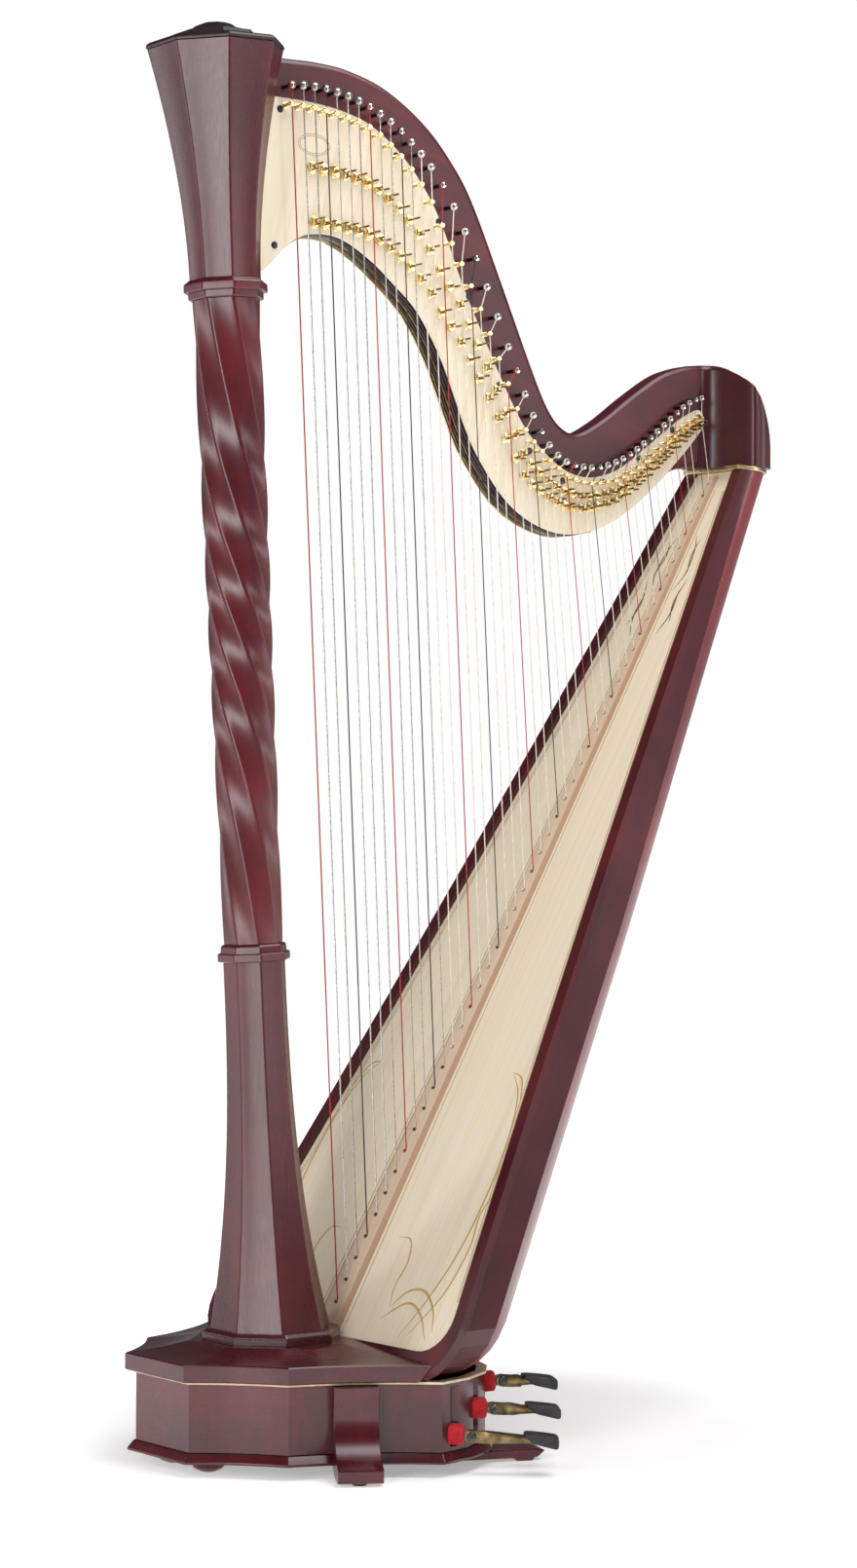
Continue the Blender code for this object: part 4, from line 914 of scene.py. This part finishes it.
def build_crown():
    """Hood over the top of the box: scooped where the neck runs into it, a ridge, then round like the box."""
    bottom = SHELL_TOP + 0.0068
    keys = [                                  # x, near face, top, radius of the near edge
        (0.7603, 0.0171, 1.5020, 0.009), (0.7720, 0.0168, 1.5035, 0.009), (0.7800, 0.0120, 1.5035, 0.009),
        (0.7865, 0.0020, 1.5025, 0.009), (0.7925, -0.0130, 1.4980, 0.009), (0.7985, -0.0300, 1.4890, 0.008),
        (0.8035, -0.0450, 1.4795, 0.007), (0.8070, -0.0520, 1.4730, 0.006), (0.8120, -0.0545, 1.4670, 0.009),
        (0.8220, -0.0545, 1.4550, 0.011), (0.8310, -0.0520, 1.4410, 0.012), (0.8400, -0.0475, 1.4260, 0.011),
        (0.8480, -0.0425, 1.4080, 0.009), (0.8545, -0.0370, 1.3880, 0.007), (0.8582, -0.0325, 1.3700, 0.005)]
    path = smooth_line([(x, near, top) for x, near, top, _ in keys], 4)
    radii = [r for *_, r in keys for _ in range(4)]
    rings = []
    for k, p in enumerate(path):
        x, near, top = p
        r = radii[min(k, len(radii) - 1)]
        ring = [Vector((x, near, bottom)), Vector((x, NECK_FAR, bottom))]
        for j in range(5):
            a = j * pi / 8
            ring.append(Vector((x, NECK_FAR - 0.006 * (1 - cos(a)), top - 0.006 * (1 - sin(a)))))
        for j in range(7):
            a = j * pi / 12
            ring.append(Vector((x, near + r * (1 - sin(a)), top - r * (1 - cos(a)))))
        for t in (0.25, 0.5, 0.75):
            ring.append(Vector((x, near, (top - r) * (1 - t) + bottom * t)))
        rings.append(ring)
    crown = Bag().rings(rings).make("crown_hood", WOOD_CROWN, sharp=42, slot="mahogany_stain")
    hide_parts("crown")


# ================================================================ strings and action
# hinge y, slot x, slot y, notch (0 to 2), length of the foot
PEDALS = {"D": (-0.048, 0.115, -0.244, 2, 0.112), "C": (-0.032, 0.165, -0.224, 1, 0.087),
          "B": (-0.016, 0.206, -0.191, 0, 0.073), "E": (0.000, 0.232, 0.146, 0, 0.070),
          "F": (0.016, 0.206, 0.191, 1, 0.073), "G": (0.032, 0.165, 0.224, 1, 0.087),
          "A": (0.048, 0.115, 0.244, 0, 0.112)}
NOTES = "CDEFGAB"
ACTION_FIRST = 21


def string_radius(i):
    return 0.00105 - 0.0000125 * i


def string_finish(i):
    note = i % 7
    if note == 0:
        return "red"
    if note == 3:
        return "black"
    return "wire" if i < 12 else "gut"


def build_strings():
    mats = {"red": GUT_RED, "black": GUT_BLACK, "wire": WIRE, "gut": GUT}
    bags = {k: Bag() for k in mats}
    shafts, tips, far_ends, pins, threads, eyes = (Bag() for _ in range(6))
    toward = Matrix.Rotation(pi / 2, 4, "X")           # local z towards -Y
    for i in range(STRINGS):
        foot, _ = string_ends(i)
        pin = tuning_pin(i)
        bridge, _, _ = disc_points(i)
        r = string_radius(i)
        coil = 0.0054 - 0.000034 * i
        at = Matrix.Translation((pin.x, NECK_NEAR, pin.z)) @ toward
        shafts.turned([(-0.002, 0.0029), (0.0140, 0.0029)], at, 14)
        tips.turned([
            (0.0135, 0.0031), (0.0150, 0.0031), (0.0150, coil * 0.80), (0.0160, coil * 0.92),
            (0.0200, coil * 0.92), (0.0216, coil * 0.74), (0.0222, coil * 0.40), (0.0224, 0.0008)], at, 18)
        far = Matrix.Translation((pin.x, NECK_FAR, pin.z)) @ Matrix.Rotation(-pi / 2, 4, "X")
        far_ends.block((0.0050, 0.0050, 0.0180), far @ Matrix.Rotation(0.6 * i, 4, "Z")
                       @ Matrix.Translation((0, 0, 0.0020)), 0.0006)
        # the wound turns on the pin and the string itself
        bag = bags[string_finish(i)]
        turns = []
        for k in range(33):
            a = k * pi / 5.2
            turns.append((pin.x + (coil * 0.80 + r * 0.6) * cos(a), -0.0030 + 0.0032 * k / 32,
                          pin.z + (coil * 0.80 + r * 0.6) * sin(a)))
        bag.tube(turns, r * 0.95, 6)
        stop = bridge + Vector((0, -0.0008, 0))
        bag.tube([pin + Vector((0, -0.0012, 0.0)), stop], r, 6)
        bag.tube([stop, foot + Vector((0, 0, -0.001))], r, 6)
        # bridge pin
        size = 1.0 - 0.0085 * i
        face = Matrix.Translation((bridge.x - 0.0026 * size, PLATE_NEAR, bridge.z)) @ toward
        pins.turned([(-0.001, 0.0046 * size), (0.0008, 0.0046 * size), (0.0014, 0.0033 * size),
                     (0.0095, 0.0033 * size), (0.0105, 0.0025 * size), (0.0132, 0.0025 * size),
                     (0.0142, 0.0040 * size), (0.0168, 0.0042 * size), (0.0180, 0.0030 * size)], face, 16)
        for d in (0.0030, 0.0048, 0.0066, 0.0084):
            threads.turned([(d - 0.0004, 0.0031 * size), (d, 0.0037 * size), (d + 0.0004, 0.0031 * size)],
                           face, 14)
        # eyelet and knot on the rib
        hole = BOARD @ Matrix.Translation((0, foot_station(i), -0.0045)) @ Matrix.Rotation(pi, 4, "X")
        eye = 0.0036 - 0.000022 * i
        eyes.turned([(-0.0002, eye), (0.0006, eye), (0.0010, eye * 0.75), (0.0004, eye * 0.5)], hole, 16)
        knot = bags["black" if string_finish(i) == "wire" else string_finish(i)]
        knot.turned([(0.0002, r * 1.2), (0.0010, r * 2.0), (0.0020, r * 2.0), (0.0030, r * 1.2)], hole, 10)
    first = None
    for key, bag in bags.items():
        ob = bag.make("strings_" + key, mats[key], sharp=60, slot="string_nylon")
        first = first or ob
    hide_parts("strings")
    shafts.make("tuning_pin_shafts", BLUED)
    tips.make("tuning_pin_ends", CHROME, sharp=40)
    far_ends.make("tuning_pin_squares", CHROME)
    pins.make("bridge_pins", GOLD, sharp=35)
    threads.make("bridge_pin_threads", GOLD, sharp=80)
    eyes.make("string_eyelets", BAND, sharp=35)


def disc_parts(gold, dark, at, turn, size, long):
    """A square disc block with its screw and the two prongs that stop the string."""
    face = Matrix.Translation((at.x, PLATE_NEAR, at.z)) @ Matrix.Rotation(turn, 4, "Y") \
        @ Matrix.Rotation(pi / 2, 4, "X")
    w = size
    gold.turned([(-0.0008, w * 0.58), (0.0010, w * 0.58), (0.0016, w * 0.46)], face, 18)
    gold.block((w, w, 0.0050), face @ Matrix.Translation((0, 0, 0.0036)), w * 0.08)
    gold.turned([(0.0058, w * 0.25), (0.0065, w * 0.24), (0.0066, w * 0.18)], face, 16)
    dark.turned([(0.0060, w * 0.15), (0.0068, w * 0.15), (0.0070, w * 0.10)], face, 14)
    for sign in (-1, 1):
        prong = face @ Matrix.Translation((sign * w * 0.34, sign * w * 0.30, 0))
        gold.turned([(0.0055, 0.0021), (0.0080, 0.0021), (0.0088, 0.0015)], prong, 10)
        dark.turned([(0.0086, 0.00140), (long - 0.0010, 0.00140), (long, 0.0008)], prong, 10)


def build_discs():
    gold, dark = Bag(), Bag()
    for i in range(2, STRINGS):
        note = NOTES[i % 7]
        turn = radians(45) * PEDALS[note][3] / 2
        bridge, upper, lower = disc_points(i)
        size = 0.0142 - 0.000118 * i
        moving = ACTION_FIRST <= i < ACTION_FIRST + 7
        shrink = 0.88 + 0.12 * min(1.0, i / 14)
        for label, at in (("upper", upper), ("lower", lower)):
            if moving:
                g, d = Bag(), Bag()
                disc_parts(g, d, at, turn, size, 0.0200)
                body = "disc_%s_%s" % (label, note)
                ob = g.make("disc_block_%s_%s" % (label, note), GOLD, body=body, sharp=35, slot="brass")
                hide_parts(body)
                d.make("disc_prongs_%s_%s" % (label, note), ANTIQUE, body=body, sharp=35)
            else:
                at = bridge.lerp(at, shrink)
                disc_parts(gold, dark, at, turn + random.uniform(-0.12, 0.12), size, 0.0200)
    gold.make("disc_blocks", GOLD, sharp=35)
    dark.make("disc_prongs", ANTIQUE, sharp=35)


# ================================================================ pedals
def pedal_pose(name):
    hinge_y, slot_x, slot_y, notch, _ = PEDALS[name]
    angle = atan2(slot_y - hinge_y, slot_x + 0.132)
    reach = hypot(slot_y - hinge_y, slot_x + 0.132)
    pitch = asin((0.0258 * (notch - 1) + 0.001) / reach)
    base = Matrix.Translation((-0.132, hinge_y, 0.078)) @ Matrix.Rotation(angle, 4, "Z") \
        @ Matrix.Rotation(pitch, 4, "Y")
    return base, reach, pitch


ARM_IN, ARM_OUT = 0.0038, 0.0090              # the arm of a foot beside its lever


def rounded_ring(x, y0, y1, z0, z1, r, per=3):
    ring = []
    for cy, cz, a0 in ((y1 - r, z1 - r, 0), (y0 + r, z1 - r, 90),
                       (y0 + r, z0 + r, 180), (y1 - r, z0 + r, 270)):
        for k in range(per + 1):
            a = radians(a0 + 90 * k / per)
            ring.append(Vector((x, cy + r * cos(a), cz + r * sin(a))))
    return ring


def felt_roll(name, base, reach):
    """Felt round the lever where it passes its slot."""
    rings = []
    for x, grow in ((-0.0125, -0.0034), (-0.0116, -0.0012), (-0.0098, 0.0), (-0.004, 0.0005),
                    (0.005, 0.0002), (0.0108, 0.0002), (0.0128, -0.0010), (0.0140, -0.0034)):
        rings.append(rounded_ring(reach + x, -0.0104 - grow, 0.0104 + grow, -0.0128 - grow, 0.0128 + grow,
                                  0.0062, 5))
    Bag().rings(rings).make("felt_" + name, FELT, body="lever_" + name, matrix=base, sharp=50)


def foot_arm(name, foot, side, cap):
    """Brass arm beside the lever that widens into the plate under the rubber."""
    arm = []
    for x, n0, n1, up, down in (
            (-0.0078, ARM_IN, ARM_OUT, 0.0030, 0.0030), (-0.0066, ARM_IN, ARM_OUT, 0.0058, 0.0058),
            (-0.0035, ARM_IN, ARM_OUT, 0.0076, 0.0076), (0.0, ARM_IN, ARM_OUT, 0.0082, 0.0082),
            (0.0130, ARM_IN, ARM_OUT, 0.0080, 0.0082), (0.0180, -0.0020, 0.0100, 0.0078, 0.0076),
            (0.0240, -0.0048, 0.0110, 0.0070, 0.0074), (cap * 0.75, -0.0062, 0.0118, 0.0050, 0.0052),
            (cap + 0.004, -0.0080, 0.0130, 0.0040, 0.0034), (cap + 0.012, -0.0080, 0.0130, 0.0034, 0.0028)):
        low, high = sorted((side * n0, side * n1))
        arm.append(rounded_ring(x, low, high, -down, up, 0.0014, 2))
    ob = Bag().rings(arm).make("pedal_arm_" + name, ANTIQUE, body="foot_" + name, matrix=foot, sharp=28,
                               slot="pedal_brass")
    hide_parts("pedal_foot_" + name)


def fold_bolt(name, foot, side):
    eye = foot @ Matrix.Rotation(pi / 2 * -side, 4, "X")
    Bag().turned([(-0.0085, 0.0030), (-0.0060, 0.0050), (-0.0040, 0.0054), (ARM_OUT - 0.0002, 0.0054),
                  (ARM_OUT + 0.0006, 0.0060), (ARM_OUT + 0.0026, 0.0060), (ARM_OUT + 0.0034, 0.0050)],
                 eye, 28).make("fold_bolt_" + name, BLUED, body="foot_" + name, sharp=35)
    Bag().turned([(ARM_OUT + 0.0032, 0.0030), (ARM_OUT + 0.0038, 0.0028), (ARM_OUT + 0.0040, 0.0012)],
                 eye, 6).make("bolt_socket_" + name, IRON, body="foot_" + name, sharp=35)


def rubber_cap(name, foot, side, cap):
    rings = []
    mid = side * 0.0025
    for x, half, low, high in (
            (-0.0070, 0.0120, 0.0046, 0.0074), (-0.0060, 0.0138, 0.0034, 0.0084),
            (-0.0030, 0.0150, 0.0024, 0.0088), (0.0010, 0.0156, 0.0006, 0.0088),
            (0.0030, 0.0160, -0.0024, 0.0087), (0.0100, 0.0167, -0.0044, 0.0083),
            (0.0240, 0.0172, -0.0068, 0.0074), (0.0330, 0.0169, -0.0086, 0.0066),
            (0.0362, 0.0160, -0.0088, 0.0052), (0.0378, 0.0146, -0.0080, 0.0030),
            (0.0385, 0.0124, -0.0062, 0.0004)):
        rings.append(rounded_ring(cap + x, mid - half, mid + half, low, high,
                                  min(0.0026, (high - low) * 0.45)))
    Bag().rings(rings).make("rubber_cap_" + name, RUBBER, body="foot_" + name, matrix=foot, sharp=50)


def build_pedals():
    for name, (_, _, slot_y, _, length) in PEDALS.items():
        base, reach, pitch = pedal_pose(name)
        foot = base @ Matrix.Translation((reach + 0.023, 0, 0)) @ Matrix.Rotation(radians(3) - pitch, 4, "Y")
        side = -1 if slot_y < 0 else 1
        cap = length - 0.0390
        dress("pedal_lever_" + name, LEVER, 0.0006)
        felt_roll(name, base, reach)
        foot_arm(name, foot, side, cap)
        fold_bolt(name, foot, side)
        rubber_cap(name, foot, side, cap)


# ================================================================ stage
def build_stage():
    toward = Vector((-0.609, -0.793, 0)).normalized()       # from the harp to the camera
    mesh = bpy.data.meshes.new("floor")
    reach, spokes = 14.0, 72
    verts = [(0.0, 0.0, 0.0)]
    for i in range(spokes):
        a = 2 * pi * i / spokes
        d = Vector((cos(a), sin(a), 0))
        ahead = d.dot(toward)
        verts.append(tuple(d * (min(reach, 2.4 / ahead) if ahead > 0 else reach)))
    mesh.from_pydata(verts, [], [(0, i + 1, (i + 1) % spokes + 1) for i in range(spokes)])
    floor = place("floor", mesh)
    s = Shade("floor_paper", (0.90, 0.90, 0.905), 0.9)
    coord = s.node("ShaderNodeTexCoord").outputs["Object"]
    length = s.node("ShaderNodeVectorMath", {0: coord}, operation="LENGTH")
    # Painted light: the floor glows so that it reads white, and the glow is weaker near the harp, a painted
    # shade round the base
    painted_floor_glow = s.node("ShaderNodeMapRange", {"Value": length.outputs["Value"], "From Min": 0.30, "From Max": 0.95,
                                         "To Min": 0.34, "To Max": 1.05}, interpolation_type="SMOOTHSTEP")
    s.shader.inputs["Emission Color"].default_value = (1, 1, 1, 1)
    s.feed(s.shader.inputs["Emission Strength"], painted_floor_glow.outputs["Result"])
    s.bump(s.object_noise(60, 2), 0.0002, 0.1)
    mesh.materials.append(s.mat)

    def panel(name, at, turn, width, height, radiance):
        data = bpy.data.lights.new(name, "AREA")
        data.shape, data.size, data.size_y = "RECTANGLE", width, height
        data.energy = radiance * pi * width * height
        ob = place(name, data)
        ob.location, ob.rotation_euler = at, turn

    def softbox(name, azimuth, elevation, distance, width, height, radiance, aim=(0, 0, 0.9)):
        a, e = radians(azimuth), radians(elevation)
        at = Vector(aim) + Vector((cos(a) * cos(e), sin(a) * cos(e), sin(e))) * distance
        turn = (Vector(aim) - at).to_track_quat("-Z", "Y").to_euler()
        panel(name, at, turn, width, height, radiance)

    softbox("key_left", 207, 8, 3.4, 0.80, 2.4, 8.0, (0, 0, 0.80))
    softbox("key_top", 290, 66, 3.0, 2.6, 2.2, 4.6)
    softbox("neck_strip", 304, 14, 4.0, 0.8, 1.3, 3.6, (0.2, 0, 1.2))
    softbox("panel_strip", 338, 4, 4.2, 0.8, 2.4, 3.2, (0.3, 0, 0.8))
    softbox("far_strip", 140, 10, 4.0, 0.7, 2.4, 5.0)
    # low panel that only the flaring faces above see
    panel("floor_panel", (cos(radians(305)) * 4.6, sin(radians(305)) * 4.6, 0.03), (pi, 0, radians(35)),
          2.4, 2.8, 5.0)

    world = bpy.data.worlds.new("studio")
    bpy.context.scene.world = world
    world.use_nodes = True
    tree = world.node_tree
    back = tree.nodes["Background"]
    coord = tree.nodes.new("ShaderNodeTexCoord")
    split = tree.nodes.new("ShaderNodeSeparateXYZ")
    ramp = tree.nodes.new("ShaderNodeValToRGB")
    span = tree.nodes.new("ShaderNodeMapRange")
    span.inputs["From Min"].default_value = -1.0
    tree.links.new(coord.outputs["Generated"], split.inputs[0])
    tree.links.new(split.outputs["Z"], span.inputs["Value"])
    tree.links.new(span.outputs["Result"], ramp.inputs["Fac"])
    stops = [(0.0, 0.20), (0.46, 0.26), (0.50, 0.36), (0.545, 0.18), (0.62, 0.07), (1.0, 0.04)]
    set_stops(ramp.color_ramp.elements, [(pos, (v, v, v * 1.02)) for pos, v in stops])
    path = tree.nodes.new("ShaderNodeLightPath")
    mix = tree.nodes.new("ShaderNodeMix")
    mix.data_type = "RGBA"
    tree.links.new(path.outputs["Is Camera Ray"], mix.inputs["Factor"])
    tree.links.new(ramp.outputs["Color"], mix.inputs[6])
    mix.inputs[7].default_value = (1, 1, 1, 1)
    tree.links.new(mix.outputs[2], back.inputs["Color"])
    bpy.context.scene.view_settings.view_transform = "Standard"


CAMERA_AT, CAMERA_TURN = Vector((-2.5584, -3.6649, 0.8101)), (37.516, 0.918, 0.275)
FOCAL = 3486.1 / 1610                        # focal length as a share of the picture's height
SENSOR = 36


def build_camera():
    az, pitch, roll = (radians(a) for a in CAMERA_TURN)
    look = Vector((sin(az) * cos(pitch), cos(az) * cos(pitch), sin(pitch)))
    right = Vector((cos(az), -sin(az), 0))
    up = right.cross(look)
    r2 = right * cos(roll) + up * sin(roll)
    u2 = up * cos(roll) - right * sin(roll)
    data = bpy.data.cameras.new("camera")
    data.sensor_fit, data.sensor_width, data.lens = "AUTO", SENSOR, FOCAL * SENSOR
    data.clip_start, data.clip_end = 0.1, 100
    cam = place("camera", data)
    rot = Matrix((r2, u2, -look)).transposed().to_4x4()
    cam.matrix_world = Matrix.Translation(SHIFT + CAMERA_AT) @ rot
    bpy.context.scene.camera = cam


build_camera()
build_stage()
build_column()
build_base()
build_soundbox()
build_neck()
build_crown()
build_strings()
build_discs()
build_pedals()
